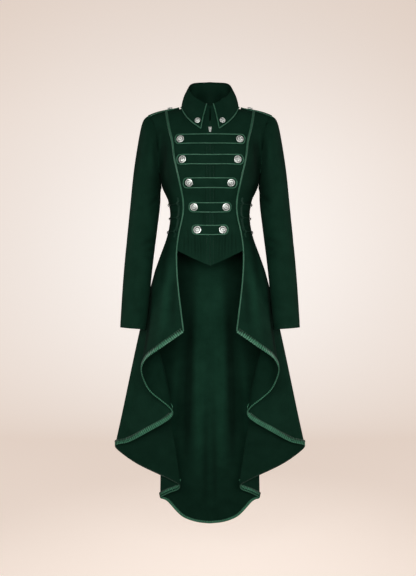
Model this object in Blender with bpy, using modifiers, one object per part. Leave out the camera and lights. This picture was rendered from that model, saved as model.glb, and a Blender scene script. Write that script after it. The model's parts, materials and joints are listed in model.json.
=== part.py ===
"""A woman's military-style tailcoat, worn shape with no wearer, in metres, +Z up, front towards -Y.

The origin is the middle of the neck base, level with the points where collar and shoulders meet.
Every cloth piece is a thin wall. The bodice walls lie on rings round the figure, the skirt walls hang
from the hip ring to a hem that swings in and out in flutes and drops from front to back.
"""

import math
from collections import namedtuple

import bmesh
import bpy
from mathutils import Matrix, Vector
from mathutils.bvhtree import BVHTree

# Driving sizes
CLOTH = 0.0020
LAID_CLOTH = 0.0016
TRIM = 0.0012
SEAM_GAP = 0.0004
LAID_GAP = 0.0006
ARMHOLE_GAP = 0.0012
RING_POWER = 2.3
PIPING_RADIUS = 0.0022
EDGE_PIPING_RADIUS = 0.0014
EDGE_PIPING_INSET = 0.0010
PIPING_END_GAP = 0.0020
HEM_BAND_HEIGHT = 0.014
HEM_BAND_TURN_UP = 0.006
HEM_EDGE_GAP = 0.0009

NECK_HALF_WIDTH = 0.082
NECK_FRONT_DROP = 0.045
NECK_BACK_RISE = 0.012
NECK_RIDGE_RISE = 0.035
SHOULDER_TIP = 0.180
SHOULDER_DROP = 0.019
FRONT_ROLL = 0.17
BACK_ROLL = 0.12
BUST_FULLNESS = 0.010
BUST_SIDE = 0.080
BUST_HEIGHT = -0.185
BUST_SPREAD = (0.055, 0.060)

ARMPIT = 0.2346
VEST_SIDE_DROP = 0.4265
VEST_POINT_DROP = 0.4712
HIP = 0.500
FRONT_OPENING = 0.0012
FRONT_CLEAR = 0.0040

# Girth sections of the figure that the coat is cut for: height, half width, depth to front and to back
Girth = namedtuple("Girth", "z half_width front back")
GIRTHS = [
    Girth(-0.560, 0.1900, 0.1330, 0.1360),
    Girth(-0.500, 0.1690, 0.1180, 0.1200),
    Girth(-0.450, 0.1530, 0.1080, 0.1060),
    Girth(-0.390, 0.1310, 0.0980, 0.0910),
    Girth(-0.333, 0.1198, 0.0920, 0.0820),
    Girth(-0.280, 0.1242, 0.1010, 0.0850),
    Girth(-0.2346, 0.1437, 0.1150, 0.0920),
    Girth(-0.190, 0.1555, 0.1180, 0.0970),
    Girth(-0.150, 0.1660, 0.1150, 0.0980),
    Girth(-0.100, 0.1780, 0.1080, 0.0960),
    Girth(-0.050, 0.2050, 0.0960, 0.0900),
    Girth(0.040, 0.2200, 0.0860, 0.0840),
]

# The princess seam and, below the vest's point, the front edge of the skirt: its distance from the middle
Line = namedtuple("Line", "z x")
PRINCESS = [
    Line(-0.560, 0.0880),
    Line(-0.500, 0.0955),
    Line(-0.443, 0.0977),
    Line(-0.405, 0.0953),
    Line(-0.361, 0.0881),
    Line(-0.331, 0.0809),
    Line(-0.308, 0.0778),
    Line(-0.277, 0.0783),
    Line(-0.218, 0.0903),
    Line(-0.147, 0.1053),
    Line(-0.101, 0.1111),
    Line(-0.065, 0.1205),
    Line(-0.010, 0.1300),
    Line(0.020, 0.1320),
]

# The armhole seen from the front: its distance from the middle
ARMHOLE = [
    Line(-0.2346, 0.1437),
    Line(-0.215, 0.1468),
    Line(-0.190, 0.1500),
    Line(-0.150, 0.1530),
    Line(-0.100, 0.1580),
    Line(-0.050, 0.1680),
    Line(-0.019, SHOULDER_TIP),
    Line(0.020, SHOULDER_TIP),
]

# Where each fold of the skirt starts on the hip ring, and where it meets the hem
Fold = namedtuple("Fold", "name hip_angle x y z")
FOLDS = [
    Fold("front_edge", 31.4, 0.0763, -0.165, -0.6635),
    Fold("front_face", 45.0, 0.1406, -0.175, -0.7077),
    Fold("crest_1_face", 60.0, 0.1848, -0.150, -0.7406),
    Fold("crest_1", 72.0, 0.2011, -0.115, -0.7818),
    Fold("crest_1_back", 78.0, 0.1750, -0.070, -0.8440),
    Fold("valley_1", 83.0, 0.1116, -0.020, -0.9122),
    Fold("crest_2_face", 87.0, 0.1900, 0.022, -0.9720),
    Fold("side_seam", 90.0, 0.2524, 0.055, -1.0069),
    Fold("crest_2", 95.0, 0.2904, 0.085, -1.0235),
    Fold("crest_2_back", 103.0, 0.2150, 0.121, -1.0850),
    Fold("valley_2", 113.0, 0.0945, 0.140, -1.1470),
    Fold("crest_3_face", 122.0, 0.1210, 0.172, -1.1750),
    Fold("crest_3", 131.0, 0.1568, 0.204, -1.1970),
    Fold("crest_3_back", 143.0, 0.1352, 0.230, -1.2124),
    Fold("tail_side", 156.1, 0.0910, 0.250, -1.2620),
    Fold("tail_face", 168.0, 0.0449, 0.262, -1.2833),
    Fold("centre_back", 180.0, 0.0000, 0.266, -1.2894),
]
FOLD_NAMES = [fold.name for fold in FOLDS]
SIDE_SEAM = FOLD_NAMES.index("side_seam")
SIDE_BACK_SEAM = FOLD_NAMES.index("valley_2")
STEPS_PER_FOLD = 2
SKIRT_ROWS = 6
ROUNDS = 5
HAIR = 1e-6
VEST_STEPS = (0.01, 0.01, (0, 1.02), (0, 1))

# Drops of the bodice rows below the shoulder line
BODICE_DROPS = [
    0.0, 0.010, 0.032, 0.065, 0.105, 0.145, 0.190, ARMPIT, 0.270, 0.302, 0.333, 0.364, 0.395,
    VEST_SIDE_DROP, 0.462, HIP,
]
NECK_COLUMNS = [0.0, 0.25, 0.50, 0.75, 0.93, 1.0]
SHOULDER_COLUMNS = [0.5, 1.0]

# Sleeve sections below the armhole: outer and inner point, middle and half depth
Sleeve = namedtuple("Sleeve", "outer_x outer_z inner_x inner_z middle_y half_depth")
SLEEVE = [
    Sleeve(0.1945, -0.0275, 0.1465, -0.2415, 0.000, 0.0590),
    Sleeve(0.2060, -0.0520, 0.1478, -0.2490, 0.000, 0.0600),
    Sleeve(0.2180, -0.1150, 0.1484, -0.2660, 0.000, 0.0580),
    Sleeve(0.2290, -0.1900, 0.1497, -0.2930, -0.002, 0.0555),
    Sleeve(0.2370, -0.2700, 0.1545, -0.3350, -0.006, 0.0530),
    Sleeve(0.2440, -0.3450, 0.1605, -0.3850, -0.013, 0.0505),
    Sleeve(0.2510, -0.4200, 0.1675, -0.4430, -0.022, 0.0483),
    Sleeve(0.2575, -0.5000, 0.1748, -0.5130, -0.033, 0.0460),
    Sleeve(0.2625, -0.5800, 0.1815, -0.5870, -0.043, 0.0440),
    Sleeve(0.2665, -0.6530, 0.1880, -0.6590, -0.051, 0.0425),
]

# The collar round the neck: angle from the middle front, the fold line's height, the leaf's lower edge
Collar = namedtuple("Collar", "angle fold_z edge_x edge_y edge_z")
COLLAR = [
    Collar(0.0, -0.002, 0.0284, -0.0945, -0.0700),
    Collar(10.0, 0.003, 0.0344, -0.0920, -0.0640),
    Collar(31.0, 0.017, 0.0544, -0.0770, -0.0480),
    Collar(52.0, 0.030, 0.0730, -0.0520, -0.0230),
    Collar(72.0, 0.046, 0.0835, -0.0260, 0.0000),
    Collar(90.0, 0.060, 0.0860, 0.0060, 0.0080),
    Collar(115.0, 0.074, 0.0760, 0.0420, 0.0110),
    Collar(140.0, 0.081, 0.0520, 0.0660, 0.0130),
    Collar(180.0, 0.085, 0.0000, 0.0780, 0.0150),
]
FOLD_HALF_WIDTH = 0.0625
FOLD_FRONT = 0.060
FOLD_BACK = 0.053
STAND_FRONT_ANGLE = 1.2
STAND_LIFT = 0.0022
STAND_REACH = 0.0004
LEAF_FRONT_ANGLE = 9.0
LEAF_ROLL = 0.0028
LEAF_END = 0.0006
LEAF_BELLY = 0.0040
LEAF_ROWS = [0.30, 0.52, 0.76, 1.0]

# Straps across the vest: middle height, half length, and the buttons' distance from the middle
Strap = namedtuple("Strap", "z half_length button_x sag")
STRAPS = [
    Strap(-0.1017, 0.1015, 0.0864, 0.0),
    Strap(-0.1625, 0.0953, 0.0797, 0.0),
    Strap(-0.2295, 0.0770, 0.0607, 0.0),
    Strap(-0.2985, 0.0607, 0.0464, 0.0022),
    Strap(-0.3660, 0.0521, 0.0369, 0.0016),
]
STRAP_HEIGHT = 0.0290
STRAP_CORNER = 0.0115
STRAP_STEPS = 4
STRAP_CORNER_TURNS = (35, 65, 90)
LIFT_TESTS = (0.0, 0.25, 0.5, 0.75, 1.0)
LIFT_HEIGHT = 0.02

# A button's profile from the top of its dome to the middle of its shank: radius, height
BUTTON_PROFILE = [
    (0.0, 0.0068), (0.0085, 0.0056), (0.0110, 0.0034), (0.0110, 0.0024), (0.0035, 0.0012), (0.0035, 0.0),
    (0.0, 0.0),
]
BUTTON_RADIUS = 0.0110
COLLAR_BUTTON_RADIUS = 0.0083
COLLAR_BUTTON = (0.0358, -0.0450)
BUTTON_SIDES = 12

EPAULETTE_INNER = 0.100
EPAULETTE_OUTER = 0.186
EPAULETTE_HALF_WIDTH = 0.019
EPAULETTE_END_WIDTH = 0.55
EPAULETTE_TIP = 0.008
EPAULETTE_TIP_SHARE = 0.36
EPAULETTE_BUTTON_IN = 0.020
EPAULETTE_COLUMNS = [0.0, 0.08, 0.20, 0.36, 0.56, 0.78, 1.0]
EPAULETTE_ROWS = [-1.0, -0.5, 0.0, 0.5, 1.0]

ZIP_TAPE_HALF_WIDTH = 0.0120
ZIP_TAPE_GAP = 0.0008
ZIP_TAPE_LEAN = 0.0003
SLIDER_Z = -0.0690
SLIDER_THICK = 0.0016
SLIDER_GAP = 0.0007
SLIDER_TOP = (0.0050, -0.0045)
SLIDER_FOOT = (0.0038, 0.0055)
ARCH_HOLE = (0.0024, 0.0020)
ARCH_POST = 0.0009
ARCH_HALF_WIDTH = 0.0010
ARCH_SINK = 0.0004
PULL_LENGTH = 0.0120
PULL_HALF_WIDTH = 0.0038
PULL_HALF_THICK = 0.0005
PULL_EYE = (0.0022, 0.0048)

# The side lacing: heights of its loops, angles of its two loop tapes round the waist
LOOP_HEIGHTS = [-0.289, -0.329, -0.369]
LOOP_TAPE_ANGLES = [42.0, 101.0]
LOOP_HALF_ANGLE = 2.0
LOOP_TAPE_ENDS = [-0.272, -0.386]
LOOP_REACH = 0.0070
LOOP_RISE = 0.0036
LACE_RADIUS = 0.0011
LACE_TURN_ANGLE = 3.4
LACE_STEPS = 8


def new_collection(name, hidden=False):
    made = bpy.data.collections.new(name)
    bpy.context.scene.collection.children.link(made)
    made.hide_render = hidden
    return made


def material(name, colour, roughness, metallic=0.0):
    made = bpy.data.materials.new(name)
    made.use_nodes = True
    shader = made.node_tree.nodes["Principled BSDF"]
    shader.inputs["Base Color"].default_value = (*colour, 1.0)
    shader.inputs["Roughness"].default_value = roughness
    shader.inputs["Metallic"].default_value = metallic
    return made


def smooth_between(rows, key, at, column):
    """A table's column at a value of its key column, on a smooth curve through the rows."""
    keys = [getattr(row, key) for row in rows]
    values = [getattr(row, column) for row in rows]
    at = min(max(at, keys[0]), keys[-1])
    upper = next(i for i in range(1, len(keys)) if at <= keys[i])
    lower = upper - 1

    def slope(i):
        before, after = max(i - 1, 0), min(i + 1, len(keys) - 1)
        return (values[after] - values[before]) / (keys[after] - keys[before])

    span = keys[upper] - keys[lower]
    t = (at - keys[lower]) / span
    rise = values[upper] - values[lower]
    start, end = slope(lower) * span, slope(upper) * span
    return values[lower] + t * (start + t * (3 * rise - 2 * start - end + t * (start + end - 2 * rise)))


def girth(z, column):
    return smooth_between(GIRTHS, "z", z, column)


def princess_x(z):
    return smooth_between(PRINCESS, "z", z, "x")


def armhole_x(z):
    return smooth_between(ARMHOLE, "z", z, "x")


def ridge(x):
    """Height of the shoulder line, which rises towards the neck inside the neckline."""
    x = abs(x)
    if x >= NECK_HALF_WIDTH:
        return -SHOULDER_DROP * ((x - NECK_HALF_WIDTH) / (SHOULDER_TIP - NECK_HALF_WIDTH)) ** 2
    return NECK_RIDGE_RISE * (1 - x / NECK_HALF_WIDTH) ** 1.5


def row_height(x, drop):
    """Rows near the shoulders run along them, and are level from the armpit down."""
    follow = max(0.0, 1 - drop / ARMPIT)
    return ridge(x) * follow - drop


def body_y(x, z, front):
    """The figure's surface at a place seen from the front: its depth on the front or the back."""
    half_width = girth(z, "half_width")
    inside = max(0.0, 1 - (min(abs(x) / half_width, 1.0)) ** RING_POWER)
    depth = girth(z, "front" if front else "back") * inside ** (1 / RING_POWER)
    if front:
        across, up = (abs(x) - BUST_SIDE) / BUST_SPREAD[0], (z - BUST_HEIGHT) / BUST_SPREAD[1]
        depth += BUST_FULLNESS * math.exp(-across * across - up * up) * math.sqrt(inside)
    below = max(0.0, ridge(x) - z)
    roll = min(below / (FRONT_ROLL if front else BACK_ROLL), 1.0)
    depth *= math.sqrt(1 - (1 - roll) ** 2)
    return -depth if front else depth


def ring_share(angle):
    """How far out a ring's point lies at an angle from the middle front, as a share of its half width."""
    return math.sin(math.radians(min(angle, 180 - angle))) ** (2 / RING_POWER)


def ring_angle(share):
    return math.degrees(math.asin(min(share, 1.0) ** (RING_POWER / 2)))


def side_front_x(z, share):
    """Distance from the middle, at a share of the way round from the princess seam to the side."""
    half_width = girth(z, "half_width")
    start = ring_angle(princess_x(z) / half_width)
    return half_width * ring_share(start + share * (90 - start))


def bodice_point(angle, drop):
    """A point of the side front, side back or back at a fold's hip angle, down to the hips."""
    front = angle < 90
    z = -drop
    for _ in range(ROUNDS):
        if front:
            share = (angle - FOLDS[0].hip_angle) / (90 - FOLDS[0].hip_angle)
            x = side_front_x(z, share)
            if drop < ARMPIT:
                seam = princess_x(-ARMPIT)
                part = (side_front_x(-ARMPIT, share) - seam) / (girth(-ARMPIT, "half_width") - seam)
                x = princess_x(z) + part * (armhole_x(z) - princess_x(z))
        else:
            reach = girth(z, "half_width") if drop >= ARMPIT else armhole_x(z)
            x = reach * ring_share(angle)
        neck = 0.0
        if not front and x < NECK_HALF_WIDTH and drop < ARMPIT:
            neckline = NECK_BACK_RISE * math.sqrt(max(0.0, 1 - (x / NECK_HALF_WIDTH) ** 2))
            neck = (ridge(x) - neckline) * (1 - drop / ARMPIT)
        z = row_height(x, drop) - neck
    return Vector((x, body_y(x, z, front), z))


def vest_point(column, drop_share):
    """A point of the centre front: column 0 at the middle, 1 at the princess seam."""
    top_x = column * princess_x(0.0)
    neck = 0.0
    if top_x < NECK_HALF_WIDTH:
        neck = ridge(top_x) + NECK_FRONT_DROP * (1 - (top_x / NECK_HALF_WIDTH) ** 2) ** 0.6
    drop = drop_share * (VEST_POINT_DROP - (VEST_POINT_DROP - VEST_SIDE_DROP) * column ** 1.1)
    z = -drop
    for _ in range(ROUNDS):
        x = column * princess_x(z)
        z = row_height(x, drop) - neck * (1 - drop_share)
    return Vector((x, body_y(x, z, True), z))


def skirt_line(fold, share):
    """A point of a fold's line from the hip ring to the hem. It leaves the hips in their own slope."""
    start = bodice_point(fold.hip_angle, HIP)
    slope = (start - bodice_point(fold.hip_angle, HIP - 0.02)).normalized()
    end = Vector((fold.x, fold.y, fold.z))
    chord = end - start
    lean_start, lean_end = slope * chord.length * 0.8, chord * 1.05
    t = share
    return (
        start * (2 * t**3 - 3 * t**2 + 1)
        + lean_start * (t**3 - 2 * t**2 + t)
        + end * (3 * t**2 - 2 * t**3)
        + lean_end * (t**3 - t**2)
    )


def spline(points, at):
    """A smooth curve through evenly counted points, at a place counted in points."""
    last = len(points) - 1
    i = min(max(int(at), 0), last - 1)
    t = at - i
    b, c = points[i], points[i + 1]
    a = points[i - 1] if i else b * 2 - c
    d = points[i + 2] if i + 2 <= last else c * 2 - b
    return (b * 2 + (c - a) * t + (a * 2 - b * 5 + c * 4 - d) * t**2 + (b * 3 - a - c * 3 + d) * t**3) / 2


def body_point(place, row):
    """A point of the sides, back and skirt: place counts folds from the front, row counts down."""
    last = len(BODICE_DROPS) - 1
    if row <= last:
        i = min(int(row), last - 1)
        drop = BODICE_DROPS[i] + (BODICE_DROPS[i + 1] - BODICE_DROPS[i]) * (row - i)
        j = min(max(int(place), 0), len(FOLDS) - 2)
        angle = FOLDS[j].hip_angle + (FOLDS[j + 1].hip_angle - FOLDS[j].hip_angle) * (place - j)
        return bodice_point(angle, drop)
    share = (row - last) / SKIRT_ROWS
    return spline([skirt_line(fold, share) for fold in FOLDS], place)


def normal_from(point_at, u, v, du, dv, u_range, v_range):
    """The outward direction of a surface at two counts, shared by the facets that meet there."""
    here = point_at(u, v)

    def along(before, after):
        ways = [way.normalized() for way in (here - before, after - here) if way.length > HAIR]
        return sum(ways, Vector())

    across = along(point_at(max(u - du, u_range[0]), v), point_at(min(u + du, u_range[1]), v))
    down = along(point_at(u, max(v - dv, v_range[0])), point_at(u, min(v + dv, v_range[1])))
    return down.cross(across).normalized()


def mirrored(vector):
    return Vector((-vector.x, vector.y, vector.z))


def loft(name, outer, inner, look, round_it=False, left=False, coarse=0):
    """A closed wall between an outer and an inner sheet of points, row by row.

    The first coarse rows use only every second column.
    """
    rows, columns = len(outer), len(outer[0])
    mesh = bmesh.new()
    made = {}

    def point(side, i, j):
        key = (side, i, j % columns)
        if key not in made:
            place = (outer, inner)[side][i][j % columns]
            made[key] = mesh.verts.new(mirrored(place) if left else place)
        return made[key]

    def fan(*corners):
        for second, third in zip(corners[1:], corners[2:]):
            mesh.faces.new((corners[0], second, third))

    for i in range(rows - 1):
        step = 2 if i < coarse else 1
        for j in range(0, columns if round_it else columns - 1, step):
            extra = [(i + 1, j + 1)] if i == coarse - 1 else []
            ring = [(i, j), (i, j + step), (i + 1, j + step), *extra, (i + 1, j)]
            fan(*[point(0, *place) for place in ring])
            fan(*[point(1, *place) for place in ring])
    for i, step in ((0, 2 if coarse else 1), (rows - 1, 1)):
        for j in range(0, columns if round_it else columns - 1, step):
            fan(point(0, i, j), point(0, i, j + step), point(1, i, j + step), point(1, i, j))
    if not round_it:
        for i in range(rows - 1):
            for j in (0, columns - 1):
                fan(point(0, i, j), point(0, i + 1, j), point(1, i + 1, j), point(1, i, j))
    bmesh.ops.recalc_face_normals(mesh, faces=mesh.faces)
    return finish(name, mesh, look)


def finish(name, mesh, look):
    data = bpy.data.meshes.new(name)
    mesh.to_mesh(data)
    mesh.free()
    data.materials.append(look)
    data.shade_smooth()
    data.set_sharp_from_angle(angle=math.radians(50))
    made = bpy.data.objects.new(name, data)
    coat.objects.link(made)
    return made


def tube(name, points, radius, look, closed=False, left=False, sides=1):
    """A cord through points: a curve with a round bevel and filled ends."""
    curve = bpy.data.curves.new(name, "CURVE")
    curve.dimensions = "3D"
    curve.bevel_depth = radius
    curve.bevel_resolution = sides
    curve.use_fill_caps = not closed
    line = curve.splines.new("POLY")
    line.points.add(len(points) - 1)
    for target, point in zip(line.points, points):
        place = mirrored(point) if left else point
        target.co = (*place, 1.0)
    line.use_cyclic_u = closed
    curve.materials.append(look)
    made = bpy.data.objects.new(name, curve)
    coat.objects.link(made)
    return made


def inset(points, towards, amount):
    """A seam's points, drawn back from the seam towards the next column."""
    return [p + (q - p).normalized() * amount for p, q in zip(points, towards)]


def with_band_rows(outer, normals):
    """Two more rows just above the hem, where the hem binding's outer and inner edges lie."""
    extra = []
    for height in (HEM_BAND_HEIGHT, HEM_BAND_TURN_UP):
        ups = [(above - hem).normalized() for above, hem in zip(outer[-2], outer[-1])]
        extra.append([hem + up * height for hem, up in zip(outer[-1], ups)])
    return outer[:-1] + extra + [outer[-1]], normals[:-1] + [normals[-1]] * 3


class Panel:
    """One half-body cloth piece: its outer points, its outward directions and its wall."""

    def __init__(self, outer, normals, seams=(False, False)):
        columns = list(zip(*outer))
        if seams[0]:
            columns[0] = inset(columns[0], columns[1], SEAM_GAP / 2)
        if seams[1]:
            columns[-1] = inset(columns[-1], columns[-2], SEAM_GAP / 2)
        self.outer = [list(row) for row in zip(*columns)]
        self.normals = normals
        self.inner = [
            [p - n * CLOTH for p, n in zip(row, normal_row)] for row, normal_row in zip(self.outer, normals)
        ]


def level(vector):
    """A direction with no part across the body, for points on the middle line."""
    return Vector((0.0, vector.y, vector.z)).normalized()


def body_panel(first, last, seams):
    """The side front, side back or back, from fold to fold, from shoulder to hem."""
    rows = len(BODICE_DROPS) + SKIRT_ROWS
    places = [first + k / STEPS_PER_FOLD for k in range((last - first) * STEPS_PER_FOLD + 1)]
    front = last <= SIDE_SEAM
    point_at = body_point_front if front else body_point_back
    nudge = 0.0 if front else HAIR
    step = 1 / STEPS_PER_FOLD
    ranges = ((0, len(FOLDS) - 1), (0, rows - 1))
    outer, normals = [], []
    for row in range(rows):
        points = [body_point(min(place + nudge, len(FOLDS) - 1), row) for place in places]
        if front and row < len(BODICE_DROPS):
            points[-1] = body_point(SIDE_SEAM - HAIR, row)
        around = [normal_from(point_at, place, row, step, 1, *ranges) for place in places]
        if row == 0:
            points = [Vector((p.x, p.y + (-1 if front else 1) * SEAM_GAP / 2, p.z)) for p in points]
            around = [shoulder_normal(p.x, n, front) for p, n in zip(points, around)]
        if places[-1] == len(FOLDS) - 1:
            around[-1] = level(around[-1])
        outer.append(points)
        normals.append(around)
    return Panel(*with_band_rows(outer, normals), seams)


def body_point_front(place, row):
    """The side front's surface, carried a little past its side seam."""
    if row <= len(BODICE_DROPS) - 1 and place >= SIDE_SEAM:
        place = SIDE_SEAM - HAIR
    return body_point(place, row)


def body_point_back(place, row):
    """The surface of the side back and back, carried a little past the side seam."""
    if row <= len(BODICE_DROPS) - 1 and place < SIDE_SEAM:
        place = SIDE_SEAM
    return body_point(place, row)


def shoulder_normal(x, normal, front):
    """On the shoulder line both panels share one direction, straight up from it."""
    if x <= NECK_HALF_WIDTH - 0.001:
        return normal
    slope = (ridge(x + 0.001) - ridge(x - 0.001)) / 0.002
    return Vector((-slope, 0.0, 1.0)).normalized()


def vest_columns():
    """Shares across the centre front: up to the neck point, then along the shoulder seam."""
    neck = NECK_HALF_WIDTH / princess_x(0.0)
    shoulder = [neck + share * (1 - neck) for share in SHOULDER_COLUMNS]
    return [share * neck for share in NECK_COLUMNS] + shoulder


def vest_panel():
    """The centre front, from neckline and shoulder to the pointed waist hem."""
    drops = [d for d in BODICE_DROPS if d <= VEST_SIDE_DROP]
    columns = vest_columns()
    outer, normals = [], []
    for drop in drops:
        share = drop / VEST_SIDE_DROP
        points = [vest_point(column, share) for column in columns]
        around = [normal_from(vest_point, column, share, *VEST_STEPS) for column in columns]
        around[0] = level(around[0])
        if drop == 0.0:
            points = [
                p + Vector((0, -SEAM_GAP / 2, 0)) if p.x > NECK_HALF_WIDTH - 0.001 else p for p in points
            ]
            around = [shoulder_normal(p.x, n, True) for p, n in zip(points, around)]
        points[0] = points[0] + Vector((FRONT_OPENING, 0, 0))
        outer.append(points)
        normals.append(around)
    return Panel(outer, normals, (False, True))


def sleeve_rings(front, back):
    """The sleeve: its first ring is the armhole of both panels, drawn outwards by the seam gap."""
    rows = BODICE_DROPS.index(ARMPIT) + 1
    front_edge = [front.outer[i][-1] for i in range(rows)]
    back_edge = [back.outer[i][0] for i in range(rows)]
    ring = [(front_edge[0] + back_edge[0]) / 2, *front_edge[1:-1]]
    ring += [(front_edge[-1] + back_edge[-1]) / 2, *reversed(back_edge[1:-1])]
    armhole = [p + Vector((ARMHOLE_GAP, 0, 0)) for p in ring]
    count = len(ring)
    rings = [armhole]
    for section in SLEEVE:
        outer = Vector((section.outer_x, section.middle_y, section.outer_z))
        inner = Vector((section.inner_x, section.middle_y, section.inner_z))
        middle, reach = (outer + inner) / 2, (outer - inner) / 2
        points = []
        for k in range(count):
            turn = 2 * math.pi * k / count
            forward = Vector((0, -section.half_depth, 0))
            points.append(middle + reach * math.cos(turn) + forward * math.sin(turn))
        rings.append(points)
    return rings


def ring_normals(rings):
    """Outward directions of a tube given as rings."""
    found = []
    count = len(rings[0])
    for i in range(len(rings)):
        above, below = rings[max(i - 1, 0)], rings[min(i + 1, len(rings) - 1)]
        row = []
        for j in range(count):
            along = rings[i][(j + 1) % count] - rings[i][j - 1]
            down = below[j] - above[j]
            row.append(along.cross(down).normalized())
        middle = sum(rings[i], Vector()) / count
        row = [n if n.dot(p - middle) > 0 else -n for n, p in zip(row, rings[i])]
        found.append(row)
    return found


def collar_column(angle):
    """One column of the collar: the stand's foot, the fold, and the leaf's lower edge."""
    share = math.sin(math.radians(angle))
    x = NECK_HALF_WIDTH * share
    front = angle <= 90
    if front:
        foot_z = -NECK_FRONT_DROP * (1 - min(share, 1.0) ** 2) ** 0.6
        foot_y = body_y(x, foot_z, True) if angle < 88 else 0.0
    else:
        foot_z = NECK_BACK_RISE * math.sqrt(max(0.0, 1 - share**2))
        foot_y = body_y(x, foot_z, False) if angle > 92 else 0.0
    foot = Vector((x, foot_y, foot_z))
    depth = -FOLD_FRONT if front else FOLD_BACK
    fold_z = smooth_between(COLLAR, "angle", angle, "fold_z")
    fold = Vector((FOLD_HALF_WIDTH * share, depth * abs(math.cos(math.radians(angle))), fold_z))
    edge = Vector([smooth_between(COLLAR, "angle", angle, c) for c in ("edge_x", "edge_y", "edge_z")])
    return foot, fold, edge


def stand_angles():
    """The collar's columns stand on those of the panels under it."""
    angles = [math.degrees(math.asin(share)) for share in NECK_COLUMNS]
    neck_place = next(i for i, fold in enumerate(FOLDS) if fold.name == "tail_side")
    steps = (len(FOLDS) - 1 - neck_place) * STEPS_PER_FOLD
    for k in range(1, steps + 1):
        x = body_point(neck_place + k / STEPS_PER_FOLD, 0).x
        angles.append(180 - math.degrees(math.asin(min(x / NECK_HALF_WIDTH, 1.0))))
    return angles


def whole_ring(halves):
    """Both sides of a row that starts at the middle front: left end, round the back, right end."""
    return [mirrored(p) for p in halves] + list(reversed(halves[:-1]))


def collar_stand():
    """The upright band: it closes at the middle front and carries the leaf on its top edge."""
    columns = []
    for angle in stand_angles():
        foot, fold, _ = collar_column(max(angle, STAND_FRONT_ANGLE))
        up = (fold - foot).normalized()
        low, high = foot + up * STAND_LIFT, fold + up * STAND_REACH
        columns.append([low.lerp(high, k / 3) for k in range(4)])
    rows = [whole_ring(list(row)) for row in zip(*columns)]
    outer, inner = [], []
    for i, row in enumerate(rows):
        above, below = rows[max(i - 1, 0)], rows[min(i + 1, len(rows) - 1)]
        out_row, in_row = [], []
        for j, point in enumerate(row):
            along = row[min(j + 1, len(row) - 1)] - row[max(j - 1, 0)]
            normal = (above[j] - below[j]).cross(along).normalized()
            if normal.dot(Vector((point.x, point.y, 0))) < 0:
                normal = -normal
            out_row.append(point)
            in_row.append(point - normal * CLOTH)
        outer.append(out_row)
        inner.append(in_row)
    return loft("collar_stand", outer, inner, cloth)


def leaf_rows():
    """The turned-down leaf: rows from inside the fold, over it and down to the lower edge."""
    angles = [max(angle, LEAF_FRONT_ANGLE) for angle in stand_angles()]
    extra = [(a + b) / 2 for a, b in zip(angles, angles[1:]) if b - a > 16]
    columns = []
    for angle in sorted(set(angles + extra)):
        fold = collar_column(angle)[1]
        spread = (angle - LEAF_FRONT_ANGLE) / (180 - LEAF_FRONT_ANGLE)
        edge = collar_column(spread * 180)[2]
        away = Vector((fold.x, fold.y, 0)).normalized()
        start = fold + away * LEAF_ROLL + Vector((0, 0, LEAF_ROLL * 0.6))
        column = [fold + Vector((0, 0, LEAF_ROLL)) - away * LEAF_END, start]
        for t in LEAF_ROWS:
            belly = away * LEAF_BELLY * math.sin(math.pi * t)
            column.append(start.lerp(edge, t) + belly)
        columns.append(column)
    return [whole_ring(list(row)) for row in zip(*columns)]


def sheet_normals(rows):
    """Outward directions of an open sheet given as rows, away from the neck's axis."""
    found = []
    for i, row in enumerate(rows):
        above, below = rows[max(i - 1, 0)], rows[min(i + 1, len(rows) - 1)]
        normals = []
        for j in range(len(row)):
            along = row[min(j + 1, len(row) - 1)] - row[max(j - 1, 0)]
            normal = (above[j] - below[j]).cross(along).normalized()
            side = Vector((row[j].x, row[j].y, 0.04))
            normals.append(normal if normal.dot(side) > 0 else -normal)
        found.append(normals)
    return found


def surface_of(*objects):
    """The faceted outside of finished pieces, for laying others on."""
    points, faces = [], []
    for piece in objects:
        start = len(points)
        points += [v.co.copy() for v in piece.data.vertices]
        faces += [[start + i for i in polygon.vertices] for polygon in piece.data.polygons]
    return BVHTree.FromPolygons(points, faces)


def touch(surface, origin, direction):
    """Where a straight line from outside first meets a surface, and the way out there."""
    place, normal, _, _ = surface.ray_cast(origin, direction)
    if place is None:
        raise ValueError(f"nothing lies under {origin}")
    return place, normal if normal.dot(direction) < 0 else -normal


def from_front(surface, x, z):
    """A place on the front, with the smooth figure's own outward direction."""
    reach = x if abs(x) > FRONT_CLEAR else FRONT_CLEAR
    place, _ = touch(surface, Vector((reach, -1, z)), Vector((0, 1, 0)))
    place.x = x
    step = 0.004
    across = Vector((2 * step, body_y(x + step, z, True) - body_y(x - step, z, True), 0))
    up = Vector((0, body_y(x, z + step, True) - body_y(x, z - step, True), 2 * step))
    return place, across.cross(up).normalized()


def strap_outline(strap, x):
    """Half height of a strap with round corners, at a distance from its middle."""
    over = abs(x) - (strap.half_length - STRAP_CORNER)
    if over <= 0:
        return STRAP_HEIGHT / 2
    return STRAP_HEIGHT / 2 - STRAP_CORNER + math.sqrt(max(0.0, STRAP_CORNER**2 - over**2))


def strap_places(strap):
    """Columns along a strap, closer together round its corners."""
    straight = strap.half_length - STRAP_CORNER
    inner = [straight * k / STRAP_STEPS for k in range(STRAP_STEPS + 1)]
    corner = [straight + STRAP_CORNER * math.sin(math.radians(a)) for a in STRAP_CORNER_TURNS]
    half = inner + corner
    return [-x for x in reversed(half[1:])] + half


def strap_drop(strap, x):
    """How far a strap's middle line sags below its ends."""
    return -strap.sag * (1 - (x / strap.half_length) ** 2)


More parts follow.
